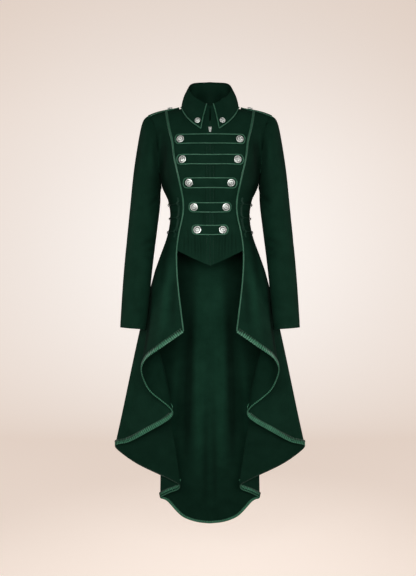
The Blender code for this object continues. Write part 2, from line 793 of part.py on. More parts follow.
def lift_to_clear(surface, rows, directions, gap):
    """How far to move a sheet out so that no facet edge of the cloth under it comes within the gap."""
    need = 0.0
    spots = []
    for i in range(len(rows) - 1):
        for j in range(len(rows[0]) - 1):
            corners = (rows[i][j], rows[i][j + 1], rows[i + 1][j], rows[i + 1][j + 1])
            for a in LIFT_TESTS:
                for b in LIFT_TESTS:
                    top = corners[0].lerp(corners[1], a)
                    low = corners[2].lerp(corners[3], a)
                    spots.append((top.lerp(low, b), directions[i][j]))
    for spot, way in spots:
        place, _, _, distance = surface.ray_cast(spot + way * LIFT_HEIGHT, -way)
        if place is not None:
            need = max(need, LIFT_HEIGHT - distance)
    return need + gap


def build_straps(front):
    """Each strap across the fronts, with its cord round the edge and a button at either end."""
    for number, strap in enumerate(STRAPS, 1):
        rows, ways = [], []
        for share in (1.0, 0.0, -1.0):
            row, way_row = [], []
            for x in strap_places(strap):
                z = strap.z + strap_drop(strap, x) + share * strap_outline(strap, x)
                place, normal = from_front(front, x, z)
                row.append(place)
                way_row.append(normal)
            rows.append(row)
            ways.append(way_row)
        lift = lift_to_clear(front, rows, ways, LAID_GAP)
        inner = [[p + n * lift for p, n in zip(row, way_row)] for row, way_row in zip(rows, ways)]
        thick = lift + LAID_CLOTH
        outer = [[p + n * thick for p, n in zip(row, way_row)] for row, way_row in zip(rows, ways)]
        made = loft(f"strap_{number}", outer, inner, cloth)
        surface = surface_of(made)
        ring = []
        places = strap_places(strap)
        border = [(x, 1.0) for x in places] + [(x, -1.0) for x in reversed(places)]
        shrink = 1 - EDGE_PIPING_INSET / strap.half_length
        for x, side in border:
            half = strap_outline(strap, x) - EDGE_PIPING_INSET
            z = strap.z + strap_drop(strap, x) + side * half
            place, normal = from_front(surface, x * shrink, z)
            ring.append(place + normal * (EDGE_PIPING_RADIUS + SEAM_GAP))
        tube(f"strap_piping_{number}", ring, EDGE_PIPING_RADIUS, satin, closed=True, sides=0)
        for side, word in ((1, "right"), (-1, "left")):
            x = side * strap.button_x
            place, normal = from_front(surface, x, strap.z + strap_drop(strap, x))
            button(f"button_{number}_{word}", place, normal, BUTTON_RADIUS)


def button(name, place, normal, radius):
    """A domed metal button on a short shank, turned from one profile."""
    share = radius / BUTTON_RADIUS
    mesh = bmesh.new()
    points = [mesh.verts.new((r * share, 0, h * share)) for r, h in BUTTON_PROFILE]
    for a, b in zip(points, points[1:]):
        mesh.edges.new((a, b))
    made = finish(name, mesh, metal)
    turn = made.modifiers.new("turned", "SCREW")
    turn.steps = turn.render_steps = BUTTON_SIDES
    turn.use_merge_vertices = True
    turn.merge_threshold = 0.00005
    made.location = place + normal * SEAM_GAP
    made.rotation_mode = "QUATERNION"
    made.rotation_quaternion = normal.to_track_quat("Z", "Y")
    return made


def hem_band(name, panels, left):
    """Satin binding: it lies on the outside of the hem, turns under its edge and ends inside."""
    points, normals, ups = [], [], []
    for panel in panels:
        for j, point in enumerate(panel.outer[-1]):
            if points and (point - points[-1]).length < 0.002:
                points[-1] = (point + points[-1]) / 2
                continue
            points.append(point)
            normals.append(panel.normals[-1][j])
            ups.append((panel.outer[-2][j] - point).normalized())
    gap, thick, below = SEAM_GAP, TRIM, HEM_EDGE_GAP
    shape = [
        (HEM_BAND_HEIGHT, gap),
        (HEM_BAND_HEIGHT, gap + thick),
        (-below - thick, gap + thick),
        (-below - thick, -CLOTH - gap - thick),
        (HEM_BAND_TURN_UP, -CLOTH - gap - thick),
        (HEM_BAND_TURN_UP, -CLOTH - gap),
        (-below, -CLOTH - gap),
        (-below, gap),
        (HEM_BAND_TURN_UP, gap),
    ]
    mesh = bmesh.new()
    rings = []
    for point, normal, up in zip(points, normals, ups):
        ring = []
        for along, out in shape:
            place = point + up * along + normal * out
            ring.append(mesh.verts.new(mirrored(place) if left else place))
        rings.append(ring)
    for first, second in zip(rings, rings[1:]):
        for k in range(len(shape)):
            n = (k + 1) % len(shape)
            if shape[k] >= shape[n]:
                mesh.faces.new((first[k], first[n], second[n]))
                mesh.faces.new((first[k], second[n], second[k]))
            else:
                mesh.faces.new((first[k], first[n], second[k]))
                mesh.faces.new((first[n], second[n], second[k]))
    mesh.faces.new(rings[0])
    mesh.faces.new(list(reversed(rings[-1])))
    bmesh.ops.recalc_face_normals(mesh, faces=mesh.faces)
    return finish(name, mesh, satin)


def princess_piping(name, panel, left):
    """The cord on the princess seam, which goes on down the skirt's front edge to the hem."""
    points = []
    for i in range(1, len(panel.outer) - 2):
        points.append(panel.outer[i][0] + panel.normals[i][0] * (PIPING_RADIUS + SEAM_GAP))
    up = (points[-2] - points[-1]).normalized()
    points[-1] = points[-1] + up * PIPING_END_GAP
    return tube(name, points, PIPING_RADIUS, satin, left=left)


def epaulette(name, surface, left):
    """The shoulder strap: its outer end is caught in the sleeve seam, its inner end is pointed."""
    length = EPAULETTE_OUTER - EPAULETTE_INNER
    rows = []
    side = -1 if left else 1
    up = Vector((0, 0, 1))
    for share in EPAULETTE_ROWS:
        row = []
        for place in EPAULETTE_COLUMNS:
            tip = EPAULETTE_TIP * (1 - abs(share)) * max(0.0, 1 - place / EPAULETTE_TIP_SHARE)
            x = side * (EPAULETTE_INNER + length * place - tip)
            y = share * epaulette_half(place) + SEAM_GAP
            row.append(touch(surface, Vector((x, y, 1)), -up)[0])
        rows.append(row)
    lift = lift_to_clear(surface, rows, [[up] * len(EPAULETTE_COLUMNS)] * len(rows), LAID_GAP)
    inner = [[p + up * lift for p in row] for row in rows]
    outer = [[p + up * (lift + LAID_CLOTH) for p in row] for row in rows]
    made = loft(name, outer, inner, cloth)
    ring = outer[0] + [row[-1] for row in outer[1:]] + list(reversed(outer[-1]))[1:]
    ring += [row[0] for row in reversed(outer[1:-1])]
    ring = [p + up * (EDGE_PIPING_RADIUS + SEAM_GAP) for p in ring]
    cord = name.replace("epaulette", "epaulette_piping")
    tube(cord, ring, EDGE_PIPING_RADIUS, satin, closed=True, sides=0)
    over = Vector((side * (EPAULETTE_INNER + EPAULETTE_BUTTON_IN), 0, 1))
    spot, normal = touch(surface_of(made), over, -up)
    button(name.replace("epaulette", "epaulette_button"), spot, normal, COLLAR_BUTTON_RADIUS)


def epaulette_half(place):
    """Half width along an epaulette, from its pointed inner end to the sleeve seam."""
    share = EPAULETTE_END_WIDTH + (1 - EPAULETTE_END_WIDTH) * place / EPAULETTE_COLUMNS[2]
    return EPAULETTE_HALF_WIDTH * min(1.0, share)


def zip_tape(vest):
    """The zip's tape: it lies inside both fronts, across the gap between them."""
    outer, inner = [], []
    for row, around in zip(vest.inner, vest.normals):
        into = -level(around[0])
        across = (row[1] - row[0]).normalized() * ZIP_TAPE_HALF_WIDTH
        middle = Vector((0.0, row[0].y, row[0].z)) + into * ZIP_TAPE_GAP
        side = middle + across + into * ZIP_TAPE_LEAN
        out_row = [mirrored(side), middle, side]
        outer.append(out_row)
        inner.append([place + into * TRIM for place in out_row])
    loft("zip_tape", outer, inner, dark)


def zip_place(surface):
    """Where the slider sits on the closed fronts: its middle, the way out and the way down."""
    place, _ = touch(surface, Vector((FRONT_CLEAR, -1, SLIDER_Z)), Vector((0, 1, 0)))
    lower, _ = touch(surface, Vector((FRONT_CLEAR, -1, SLIDER_Z - PULL_LENGTH)), Vector((0, 1, 0)))
    down = Vector((0, lower.y - place.y, lower.z - place.z)).normalized()
    return Vector((0, place.y, place.z)), Vector((0, down.z, -down.y)), down


def zip_slider(middle, out, down):
    """The slider: a plate on the teeth, with an arch on it that holds the pull tab's bar."""
    plate_middle = middle + out * (SLIDER_GAP + SLIDER_THICK / 2)
    top, low = SLIDER_TOP, SLIDER_FOOT
    outline = [(-top[0], top[1]), top, low, (-low[0], low[1])]
    made = plate("zip_slider", outline, plate_middle, out, down, SLIDER_THICK / 2)
    half, post, high, sink = ARCH_HOLE[0] / 2, ARCH_POST, ARCH_HOLE[1], -ARCH_SINK
    end, shoulder_height, crown = half + post, high + post / 2, high + post
    arch = [
        (-end, sink), (-end, shoulder_height), (-half, crown), (half, crown), (end, shoulder_height),
        (end, sink), (half, sink), (half, high), (-half, high), (-half, sink),
    ]
    foot = middle + out * (SLIDER_GAP + SLIDER_THICK)
    join(made, arch_solid(arch, foot, out, down), "UNION")


def arch_solid(outline, foot, out, down):
    """The slider's arch: an outline along the zip and outwards, as wide as the arch is across the zip."""
    mesh = bmesh.new()
    sheets = []
    for side in (ARCH_HALF_WIDTH, -ARCH_HALF_WIDTH):
        start = foot + Vector((side, 0, 0))
        sheets.append([mesh.verts.new(start + down * d + out * h) for d, h in outline])
    return closed_prism("arch", mesh, sheets)


def closed_prism(name, mesh, sheets):
    """The solid between two like outlines."""
    top, bottom = sheets
    mesh.faces.new(top)
    mesh.faces.new(list(reversed(bottom)))
    for k in range(len(top)):
        n = (k + 1) % len(top)
        mesh.faces.new((top[k], bottom[k], bottom[n], top[n]))
    bmesh.ops.recalc_face_normals(mesh, faces=mesh.faces)
    return finish(name, mesh, metal)


def join(target, tool, how):
    """Add or cut one solid on another. The tool stays behind as a hidden guide."""
    step = target.modifiers.new(how.lower(), "BOOLEAN")
    step.operation = how
    step.object = tool
    coat.objects.unlink(tool)
    guides.objects.link(tool)
    tool.hide_render = True
    tool.display_type = "WIRE"


def zip_pull(middle, out, down):
    """The pull tab: its bar lies in the slider's arch, and it hangs down the cloth."""
    axle = middle + out * (SLIDER_GAP + SLIDER_THICK + ARCH_HOLE[1] / 2)
    bar, wide, narrow, waist = PULL_HALF_THICK, PULL_HALF_WIDTH, PULL_HALF_WIDTH * 0.75, PULL_LENGTH * 0.55
    outline = [
        (-wide, -bar), (wide, -bar), (wide, waist), (narrow, PULL_LENGTH), (-narrow, PULL_LENGTH),
        (-wide, waist),
    ]
    flat = (Vector(), Vector((0, 0, 1)), Vector((0, -1, 0)))
    made = plate("zip_pull", outline, *flat, PULL_HALF_THICK)
    eye_x, eye_end = PULL_EYE
    eye = [(-eye_x, bar), (eye_x, bar), (eye_x, eye_end), (-eye_x, eye_end)]
    hole = plate("eye", eye, *flat, PULL_HALF_THICK * 4)
    turn = Matrix((Vector((1, 0, 0)), -down, out)).transposed()
    for item in (made, hole):
        item.location = axle
        item.rotation_mode = "QUATERNION"
        item.rotation_quaternion = turn.to_quaternion()
    join(made, hole, "DIFFERENCE")


def plate(name, outline, middle, out, down, half_thick):
    """A small metal plate with an outline across and down the cloth."""
    mesh = bmesh.new()
    sheets = []
    for side in (half_thick, -half_thick):
        start = middle + out * side
        sheets.append([mesh.verts.new(start + Vector((x, 0, 0)) + down * d) for x, d in outline])
    return closed_prism(name, mesh, sheets)


def collar_leaf():
    """The leaf: it turns over the stand's top edge and falls to two points at the front."""
    rows = leaf_rows()
    around = sheet_normals(rows)
    inner = [[p - n * LAID_CLOTH for p, n in zip(row, normals)] for row, normals in zip(rows, around)]
    made = loft("collar_leaf", rows, inner, cloth)
    points = []
    for i in range(1, len(rows)):
        points.append(edge_point(rows[i][0], rows[i][1], around[i][0]))
    for j in range(1, len(rows[0]) - 1):
        points.append(edge_point(rows[-1][j], rows[-2][j], around[-1][j]))
    for i in range(len(rows) - 1, 0, -1):
        points.append(edge_point(rows[i][-1], rows[i][-2], around[i][-1]))
    tube("collar_piping", points, EDGE_PIPING_RADIUS, satin, sides=0)
    surface = surface_of(made)
    for side, word in ((1, "right"), (-1, "left")):
        spot = Vector((side * COLLAR_BUTTON[0], -1, COLLAR_BUTTON[1]))
        place, normal = touch(surface, spot, Vector((0, 1, 0)))
        button(f"collar_button_{word}", place, normal, COLLAR_BUTTON_RADIUS)


def edge_point(point, inward, normal):
    """A place for an edge's cord: on the outside, just inside the edge."""
    inside = point + (inward - point).normalized() * EDGE_PIPING_INSET
    return inside + normal * (EDGE_PIPING_RADIUS + SEAM_GAP)


def waist_place(surface, angle, z, left):
    """A place on the waist's cloth at a fold's angle and a height, and the way out of the cloth there."""
    here = bodice_point(angle, -z)
    out = Vector((here.x, here.y, 0)).normalized()
    if left:
        here, out = mirrored(here), mirrored(out)
    place, _ = touch(surface, here + out * LIFT_HEIGHT, -out)
    return place, out


def loop_tape(name, surface, angle, left):
    """A satin tape sewn beside the seam: it stands out in a belt loop at each of three heights."""
    rows = [(LOOP_TAPE_ENDS[0], 0.0)]
    for z in LOOP_HEIGHTS:
        rows += [(z + LOOP_REACH, 0.0), (z + LOOP_REACH / 2, LOOP_RISE), (z - LOOP_REACH / 2, LOOP_RISE)]
        rows += [(z - LOOP_REACH, 0.0)]
    rows += [(LOOP_TAPE_ENDS[1], 0.0)]
    outer, inner = [], []
    for z, rise in rows:
        out_row, in_row = [], []
        for side in (-1, 1):
            place, way = waist_place(surface, angle + side * LOOP_HALF_ANGLE, z, left)
            in_row.append(place + way * (LAID_GAP + rise))
            out_row.append(place + way * (LAID_GAP + rise + TRIM))
        outer.append(out_row)
        inner.append(in_row)
    loft(name, outer, inner, satin)


def side_lacing(name, surface, left):
    """One lace: it runs through the loops of both tapes, across, down beside them and back."""
    front, back_angle = LOOP_TAPE_ANGLES
    ends = [front - LACE_TURN_ANGLE, back_angle + LACE_TURN_ANGLE]
    points = []
    for i, z in enumerate(LOOP_HEIGHTS):
        steps = [ends[0] + (ends[1] - ends[0]) * k / LACE_STEPS for k in range(LACE_STEPS + 1)]
        if i % 2:
            steps.reverse()
        for angle in steps:
            place, way = waist_place(surface, angle, z, left)
            points.append(place + way * (2 * LAID_GAP + LACE_RADIUS))
    tube(name, points, LACE_RADIUS, dark, sides=0)


for old in list(bpy.data.objects):
    bpy.data.objects.remove(old)
coat = new_collection("tailcoat")
guides = new_collection("guides", hidden=True)
cloth = material("green_wool", (0.012, 0.055, 0.034), 0.85)
satin = material("green_satin", (0.04, 0.16, 0.10), 0.4)
metal = material("silver_metal", (0.75, 0.75, 0.72), 0.3, 1.0)
dark = material("dark_tape", (0.01, 0.012, 0.011), 0.7)

side_front = body_panel(0, SIDE_SEAM, (True, True))
side_back = body_panel(SIDE_SEAM, SIDE_BACK_SEAM, (True, True))
back = body_panel(SIDE_BACK_SEAM, len(FOLDS) - 1, (True, True))
vest = vest_panel()
sleeve = sleeve_rings(side_front, side_back)
sleeve_out = ring_normals(sleeve)
sleeve_inner = [[p - n * CLOTH for p, n in zip(ring, around)] for ring, around in zip(sleeve, sleeve_out)]
for word, left in (("left", True), ("right", False)):
    loft(f"centre_front_{word}", vest.outer, vest.inner, cloth, left=left)
    coarse = len(BODICE_DROPS) - 1
    loft(f"side_front_{word}", side_front.outer, side_front.inner, cloth, left=left, coarse=coarse)
    loft(f"side_back_{word}", side_back.outer, side_back.inner, cloth, left=left, coarse=coarse)
    loft(f"back_{word}", back.outer, back.inner, cloth, left=left, coarse=coarse)
    loft(f"sleeve_{word}", sleeve, sleeve_inner, cloth, round_it=True, left=left)
    princess_piping(f"piping_{word}", side_front, left)
    hem_band(f"hem_band_{word}", [side_front, side_back, back], left)
    surface = surface_of(*[bpy.data.objects[f"{piece}_{word}"] for piece in ("side_front", "side_back")])
    for tape, angle in zip(("front", "back"), LOOP_TAPE_ANGLES):
        loop_tape(f"loop_tape_{tape}_{word}", surface, angle, left)
    side_lacing(f"side_lacing_{word}", surface, left)
    around = ("centre_front", "side_front", "side_back", "back", "sleeve")
    shoulder = surface_of(*[bpy.data.objects[f"{piece}_{word}"] for piece in around])
    epaulette(f"epaulette_{word}", shoulder, left)

collar_stand()
collar_leaf()
zip_tape(vest)
fronts = surface_of(bpy.data.objects["centre_front_left"], bpy.data.objects["centre_front_right"])
build_straps(fronts)
zip_middle, zip_out, zip_down = zip_place(fronts)
zip_slider(zip_middle, zip_out, zip_down)
zip_pull(zip_middle, zip_out, zip_down)
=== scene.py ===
import json
import math
from collections import namedtuple
from contextlib import contextmanager

import bmesh
import bpy
import numpy as np
from mathutils import Matrix, Vector
from mathutils.bvhtree import BVHTree

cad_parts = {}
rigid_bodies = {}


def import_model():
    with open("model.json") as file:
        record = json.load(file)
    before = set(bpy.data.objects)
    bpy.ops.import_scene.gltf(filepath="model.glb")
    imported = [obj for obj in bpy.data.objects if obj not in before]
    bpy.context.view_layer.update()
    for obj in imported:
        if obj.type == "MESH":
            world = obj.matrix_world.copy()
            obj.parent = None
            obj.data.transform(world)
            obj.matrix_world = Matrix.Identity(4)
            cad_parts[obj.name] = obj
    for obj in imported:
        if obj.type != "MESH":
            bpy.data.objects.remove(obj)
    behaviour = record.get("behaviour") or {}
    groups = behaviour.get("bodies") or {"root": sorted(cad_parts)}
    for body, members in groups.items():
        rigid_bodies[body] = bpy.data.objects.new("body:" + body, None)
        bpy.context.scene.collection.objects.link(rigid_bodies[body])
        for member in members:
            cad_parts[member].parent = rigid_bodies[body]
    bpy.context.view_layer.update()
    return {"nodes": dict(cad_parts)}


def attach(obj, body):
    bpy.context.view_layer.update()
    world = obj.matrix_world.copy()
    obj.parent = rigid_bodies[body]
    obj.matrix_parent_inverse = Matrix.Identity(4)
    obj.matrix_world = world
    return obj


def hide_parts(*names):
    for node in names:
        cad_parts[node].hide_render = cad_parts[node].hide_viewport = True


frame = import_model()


# The room: a pale floor that curves up into a round pale wall, so that the coat has the same plain
# ground behind it from every side. Two hooded lamps light it from the front, one from behind and a
# weak one from each side. The camera looks at the coat from its own height, four metres away.
FLOOR_HEIGHT = -1.46
ROOM_RADIUS = 7.0
ROOM_BEND = 2.6
BEND_STEPS = 12
WALL_HEIGHT = 8.0
ROOM_COLOUR = (0.50, 0.48, 0.46, 1.0)
ROOM_ROUGHNESS = 0.9
GLOW_MIDDLE = (0.88, 0.865, 0.855, 1.0)
GLOW_EDGE = (0.60, 0.46, 0.375, 1.0)
GLOW_STRENGTH = 1.0
GLOW_REACH = 3.2
LAMP_SPREAD = math.radians(28)
LAMP_FADE = 0.5
LAMP_RADIUS = 0.75
LAMP_COLOUR = (1.0, 0.99, 0.97)
# Each lamp: its place, the height on the coat that it is aimed at, and its power
LAMPS = {
    "key_lamp": ((-0.7, -4.8, 0.1), -0.55, 600),
    "fill_lamp": ((0.7, -4.8, -0.2), -0.60, 560),
    "back_lamp": ((0.3, 4.8, -0.1), -0.55, 900),
    "left_lamp": ((-4.6, 0.6, 0.0), -0.55, 330),
    "right_lamp": ((4.6, 0.6, 0.0), -0.55, 330),
}
SKY_COLOUR = (1.0, 0.97, 0.93, 1.0)
SKY_STRENGTH = 0.18
CAMERA_PLACE = (-0.006, -4.0, -0.537)
CAMERA_LENS = 83.3
SENSOR_HEIGHT = 36.0
CAMERA_REACH = 60.0


def deselect():
    if bpy.context.object and bpy.context.object.mode != "OBJECT":
        bpy.ops.object.mode_set(mode="OBJECT")
    bpy.ops.object.select_all(action="DESELECT")


def make_active(piece):
    deselect()
    piece.select_set(True)
    bpy.context.view_layer.objects.active = piece


@contextmanager
def editing(piece, select_by="FACE"):
    """Edit mode on one piece, with all of it selected."""
    make_active(piece)
    bpy.ops.object.mode_set(mode="EDIT")
    bpy.ops.mesh.select_mode(type=select_by)
    bpy.ops.mesh.select_all(action="SELECT")
    yield
    bpy.ops.object.mode_set(mode="OBJECT")


def drawn_up(name, sides, radius, height, steps, select_by, inside):
    """A disc drawn up in steps, each with its radius and its height above the disc."""
    deselect()
    bpy.ops.mesh.primitive_circle_add(
        vertices=sides, radius=radius, fill_type="NGON", location=(0, 0, height)
    )
    piece = bpy.context.object
    piece.name = name
    with editing(piece, select_by):
        reach, height = radius, 0.0
        for wider, higher in steps:
            bpy.ops.mesh.extrude_region_move(
                TRANSFORM_OT_translate={"value": (0, 0, higher - height)}
            )
            bpy.ops.transform.resize(
                value=(wider / reach, wider / reach, 1), center_override=(0, 0, 0)
            )
            reach, height = wider, higher
        bpy.ops.mesh.select_all(action="SELECT")
        bpy.ops.mesh.normals_make_consistent(inside=inside)
    return piece


def new_finish(name):
    """A finish to work on, its shader, and the ways in which a pattern finds its place."""
    finish = bpy.data.materials.new(name)
    finish.use_nodes = True
    nodes = finish.node_tree.nodes
    return finish, nodes["Principled BSDF"], nodes.new("ShaderNodeTexCoord").outputs


def feed(finish, node, *in_order, **named):
    """Set a node's inputs to values or to what other nodes give, and its ways, in small letters."""
    for key, given in [*enumerate(in_order), *named.items()]:
        if isinstance(given, bpy.types.Node):
            given = given.outputs["Fac" if "Fac" in given.outputs else 0]
        if str(key).islower():
            setattr(node, key, given)
            continue
        socket = node.inputs[key.replace("_", " ") if isinstance(key, str) else key]
        if isinstance(given, bpy.types.NodeSocket):
            finish.node_tree.links.new(given, socket)
        else:
            socket.default_value = given


def add_node(finish, kind, *in_order, **named):
    made = finish.node_tree.nodes.new(f"ShaderNode{kind}")
    feed(finish, made, *in_order, **named)
    return made


def dyed(finish, pattern, first, last, start=0.0, end=1.0):
    """Colours that go from the first to the last as a pattern runs from its start to its end."""
    made = add_node(finish, "ValToRGB", Fac=pattern)
    for stop, place, colour in zip(made.color_ramp.elements, (start, end), (first, last)):
        stop.position = place
        stop.color = colour
    return made


turns = [math.radians(90 * step / BEND_STEPS) for step in range(1, BEND_STEPS + 1)]
bend = [
    (ROOM_RADIUS - ROOM_BEND * (1 - math.sin(turn)), ROOM_BEND * (1 - math.cos(turn)))
    for turn in turns
]
wall_top = (ROOM_RADIUS, ROOM_BEND + WALL_HEIGHT)
room = drawn_up(
    "room", 96, ROOM_RADIUS - ROOM_BEND, FLOOR_HEIGHT, bend + [wall_top], "EDGE", inside=True
)
bpy.ops.object.shade_smooth()
bpy.ops.object.transform_apply()
room.visible_diffuse = False
room.visible_glossy = False
# The wall glows with a painted pool of light, brightest behind the coat at the camera's height and
# dimmer and warmer away from it
paint, shader, place = new_finish("room_paint")
centre = (0, ROOM_RADIUS, CAMERA_PLACE[2])
away = add_node(paint, "VectorMath", place["Object"], centre, operation="DISTANCE")
share = add_node(paint, "Math", away.outputs["Value"], GLOW_REACH, operation="DIVIDE")
glow = dyed(paint, share, GLOW_MIDDLE, GLOW_EDGE)
glow.color_ramp.interpolation = "B_SPLINE"
feed(
    paint, shader, Base_Color=ROOM_COLOUR, Roughness=ROOM_ROUGHNESS,
    Emission_Strength=GLOW_STRENGTH, Emission_Color=glow,
)
room.data.materials.append(paint)

for name, (place, aim, power) in LAMPS.items():
    bpy.ops.object.light_add(type="SPOT", location=place)
    lamp = bpy.context.object
    lamp.name = name
    lamp.data.shadow_soft_size = LAMP_RADIUS
    lamp.data.spot_size = LAMP_SPREAD
    lamp.data.spot_blend = LAMP_FADE
    lamp.data.energy = power
    lamp.data.color = LAMP_COLOUR
    way = Vector((0, 0, aim)) - Vector(place)
    lamp.rotation_euler = way.to_track_quat("-Z", "Y").to_euler()
    lamp.visible_camera = False
studio = bpy.data.worlds.new("studio")
studio.use_nodes = True
feed(studio, studio.node_tree.nodes["Background"], Color=SKY_COLOUR, Strength=SKY_STRENGTH)
bpy.context.scene.world = studio
bpy.context.scene.view_settings.view_transform = "Standard"

bpy.ops.object.camera_add(location=CAMERA_PLACE, rotation=(math.radians(90), 0, 0))
camera = bpy.context.object
camera.data.sensor_fit = "VERTICAL"
camera.data.sensor_height = SENSOR_HEIGHT
camera.data.lens = CAMERA_LENS
camera.data.clip_end = CAMERA_REACH
bpy.context.scene.camera = camera


# Centre fronts: the two cloth pieces either side of the zip, from neckline and shoulder seam to the
# pointed waist. They are cut from a soft green coating with a fine twill. Their front edges are
# turned in and stitched down beside the zip, and small soft pleats run down to the point.
WALL = 0.0020
RIM_SLACK = 0.00006
MERGED_WITHIN = 0.00001
INSIDE_THE_COAT = (0, 0, -0.3)
JOINED_CORNER = math.radians(130)
CORNER_ANGLES = (math.radians(10), math.radians(145))
ROUNDING_TRIES = 5
ROUNDING_SHARE = 0.9
CLOTH_THICKNESS = 0.0015
TURN_REACH = 0.0003
TURN_ROLL = 0.0004
SHARP_EDGE = math.radians(50)
CREASE_ENDS = 0.02
CREASE_FADE = 0.6
PATH_STEPS = 6
PLEAT_STEPS = 12
TWILL_PITCH = 0.0009
CLOTH_DARK = (0.0022, 0.0126, 0.0070, 1.0)
CLOTH_LIGHT = (0.0040, 0.0194, 0.0112, 1.0)
# The depth of crease at which its painted shade is full
FULL_SHADE_DEPTH = 0.0020
FROM_THE_FRONT = (0, 1, 0)
# Each pleat: distance from the middle at its top and foot, height of its top and foot, width, depth
VEST_PLEATS = [
    (0.0130, 0.0130, -0.030, -0.462, 0.0022, 0.0009),
    (0.0062, 0.0052, -0.118, -0.292, 0.0020, 0.0006),
    (0.0205, 0.0190, -0.255, -0.462, 0.0024, 0.0008),
    (0.0290, 0.0260, -0.372, -0.458, 0.0022, 0.0011),
    (0.0365, 0.0350, -0.388, -0.454, 0.0020, 0.0009),
    (0.0460, 0.0430, -0.368, -0.449, 0.0026, 0.0012),
    (0.0545, 0.0540, -0.390, -0.445, 0.0020, 0.0009),
    (0.0650, 0.0640, -0.360, -0.440, 0.0026, 0.0011),
    (0.0760, 0.0770, -0.380, -0.436, 0.0024, 0.0010),
]
Edge = namedtuple("Edge", "places outward inward")


def new_piece(name, data):
    piece = bpy.data.objects.new(name, data)
    bpy.context.collection.objects.link(piece)
    make_active(piece)
    return piece


@contextmanager
def mesh_of(piece):
    """The piece's points, edges and faces, to read or to move."""
    mesh = bmesh.new()
    mesh.from_mesh(piece.data)
    mesh.verts.ensure_lookup_table()
    yield mesh
    mesh.free()


def join_corners(mesh):
    """Make the cloth at each corner one quad, so that the corner stays sharp when rounded."""
    spare = []
    for vertex in mesh.verts:
        border = [edge for edge in vertex.link_edges if edge.is_boundary]
        inner = [edge for edge in vertex.link_edges if not edge.is_boundary]
        if len(border) == 2 and len(inner) == 1:
            a, b = [edge.other_vert(vertex).co - vertex.co for edge in border]
            if a.angle(b) < JOINED_CORNER:
                spare.append(inner[0])
    bmesh.ops.dissolve_edges(mesh, edges=spare, use_verts=False)


def open_wall(node, name, wall=WALL):
    """A copy of one wall, opened to its outer face alone and turned into quads."""
    data = frame["nodes"][node].data.copy()
    data.name = name
    piece = new_piece(name, data)
    with editing(piece):
        bpy.ops.mesh.remove_doubles(threshold=MERGED_WITHIN)
        mesh = bmesh.from_edit_mesh(data)
        for face in mesh.faces:
            rim = any(abs(edge.calc_length() - wall) < RIM_SLACK for edge in face.edges)
            face.select_set(rim)
        bpy.ops.mesh.delete(type="FACE")
        mesh = bmesh.from_edit_mesh(data)
        sheets = []
        for face in mesh.faces:
            if not any(face in sheet for sheet in sheets):
                bpy.ops.mesh.select_all(action="DESELECT")
                face.select_set(True)
                bpy.ops.mesh.select_linked()
                sheets.append({f for f in mesh.faces if f.select})
        inside = Vector(INSIDE_THE_COAT)
        facings = [
            sum(f.normal.dot(f.calc_center_median() - inside) * f.calc_area() for f in sheet)
            for sheet in sheets
        ]
        outer = sheets[facings.index(max(facings))]
        for face in mesh.faces:
            face.select_set(face not in outer)
        bpy.ops.mesh.delete(type="FACE")
        join_corners(bmesh.from_edit_mesh(data))
        bpy.ops.mesh.select_all(action="SELECT")
        bpy.ops.mesh.tris_convert_to_quads(
            face_threshold=math.pi, shape_threshold=math.pi, topology_influence=1.8
        )
    data.materials.clear()
    return piece


def lay_flat(piece, seam=()):
    """Flatten the cloth into its UV map, in metres, with its grain running down the piece."""
    for index in seam:
        piece.data.edges[index].use_seam = True
    with editing(piece):
        bpy.ops.uv.unwrap(method="ANGLE_BASED", margin=0.0)
        mesh = bmesh.from_edit_mesh(piece.data)
        layer = mesh.loops.layers.uv.active
        flat_area, grain = 0.0, Vector((0, 0))
        for face in mesh.faces:
            corners = [loop[layer].uv for loop in face.loops]
            pairs = zip(corners, corners[1:] + corners[:1])
            flat_area += abs(sum(a.cross(b) for a, b in pairs)) / 2
            for loop in face.loops:
                after = loop.link_loop_next
                along = after[layer].uv - loop[layer].uv
                grain += along * (after.vert.co.z - loop.vert.co.z)
        turn = Matrix.Rotation(math.atan2(grain.x, grain.y), 2)
        scale = math.sqrt(sum(face.calc_area() for face in mesh.faces) / flat_area)
        for face in mesh.faces:
            for loop in face.loops:
                loop[layer].uv = turn @ loop[layer].uv * scale
        bmesh.update_edit_mesh(piece.data)


def corner_points(piece):
    """The border points of an opened sheet where two of its edges meet in a corner."""
    narrowest, widest = CORNER_ANGLES
    with mesh_of(piece) as mesh:
        return [
            vertex.index for vertex in mesh.verts if vertex.is_boundary
            and narrowest < sum(loop.calc_angle() for loop in vertex.link_loops) < widest
        ]


def smooth_through(piece, levels):
    """Round the sheet out, so that it still passes through the points that it started with."""
    make_active(piece)
    wanted = [vertex.co.copy() for vertex in piece.data.vertices]
    rounding = piece.modifiers.new("rounding", "SUBSURF")
    rounding.levels = rounding.render_levels = levels
    rounding.boundary_smooth = "PRESERVE_CORNERS"
    for _ in range(ROUNDING_TRIES):
        graph = bpy.context.evaluated_depsgraph_get()
        reached = [v.co.copy() for v in piece.evaluated_get(graph).data.vertices[: len(wanted)]]
        for vertex, want, got in zip(piece.data.vertices, wanted, reached):
            vertex.co += (want - got) * ROUNDING_SHARE
        piece.data.update()
    bpy.ops.object.modifier_apply(modifier="rounding")


def laid_out(node, levels, wall=WALL, name=None):
    """The cloth of one wall, laid flat for its weave and rounded out, and its corner points."""
    piece = open_wall(node, name or f"cloth_{node}", wall)
    corners = corner_points(piece)
    lay_flat(piece)
    smooth_through(piece, levels)
    return piece, corners


def rows_of(values, kind):
    found = np.empty(len(values) * 3)
    values.foreach_get(kind, found)
    return found.reshape(-1, 3)


def points_of(piece):
    return rows_of(piece.data.vertices, "co")


def unit(rows):
    return rows / np.linalg.norm(rows, axis=-1, keepdims=True)


def settle(piece, moves):
    piece.data.vertices.foreach_set("co", (points_of(piece) + moves).ravel())
    piece.data.update()


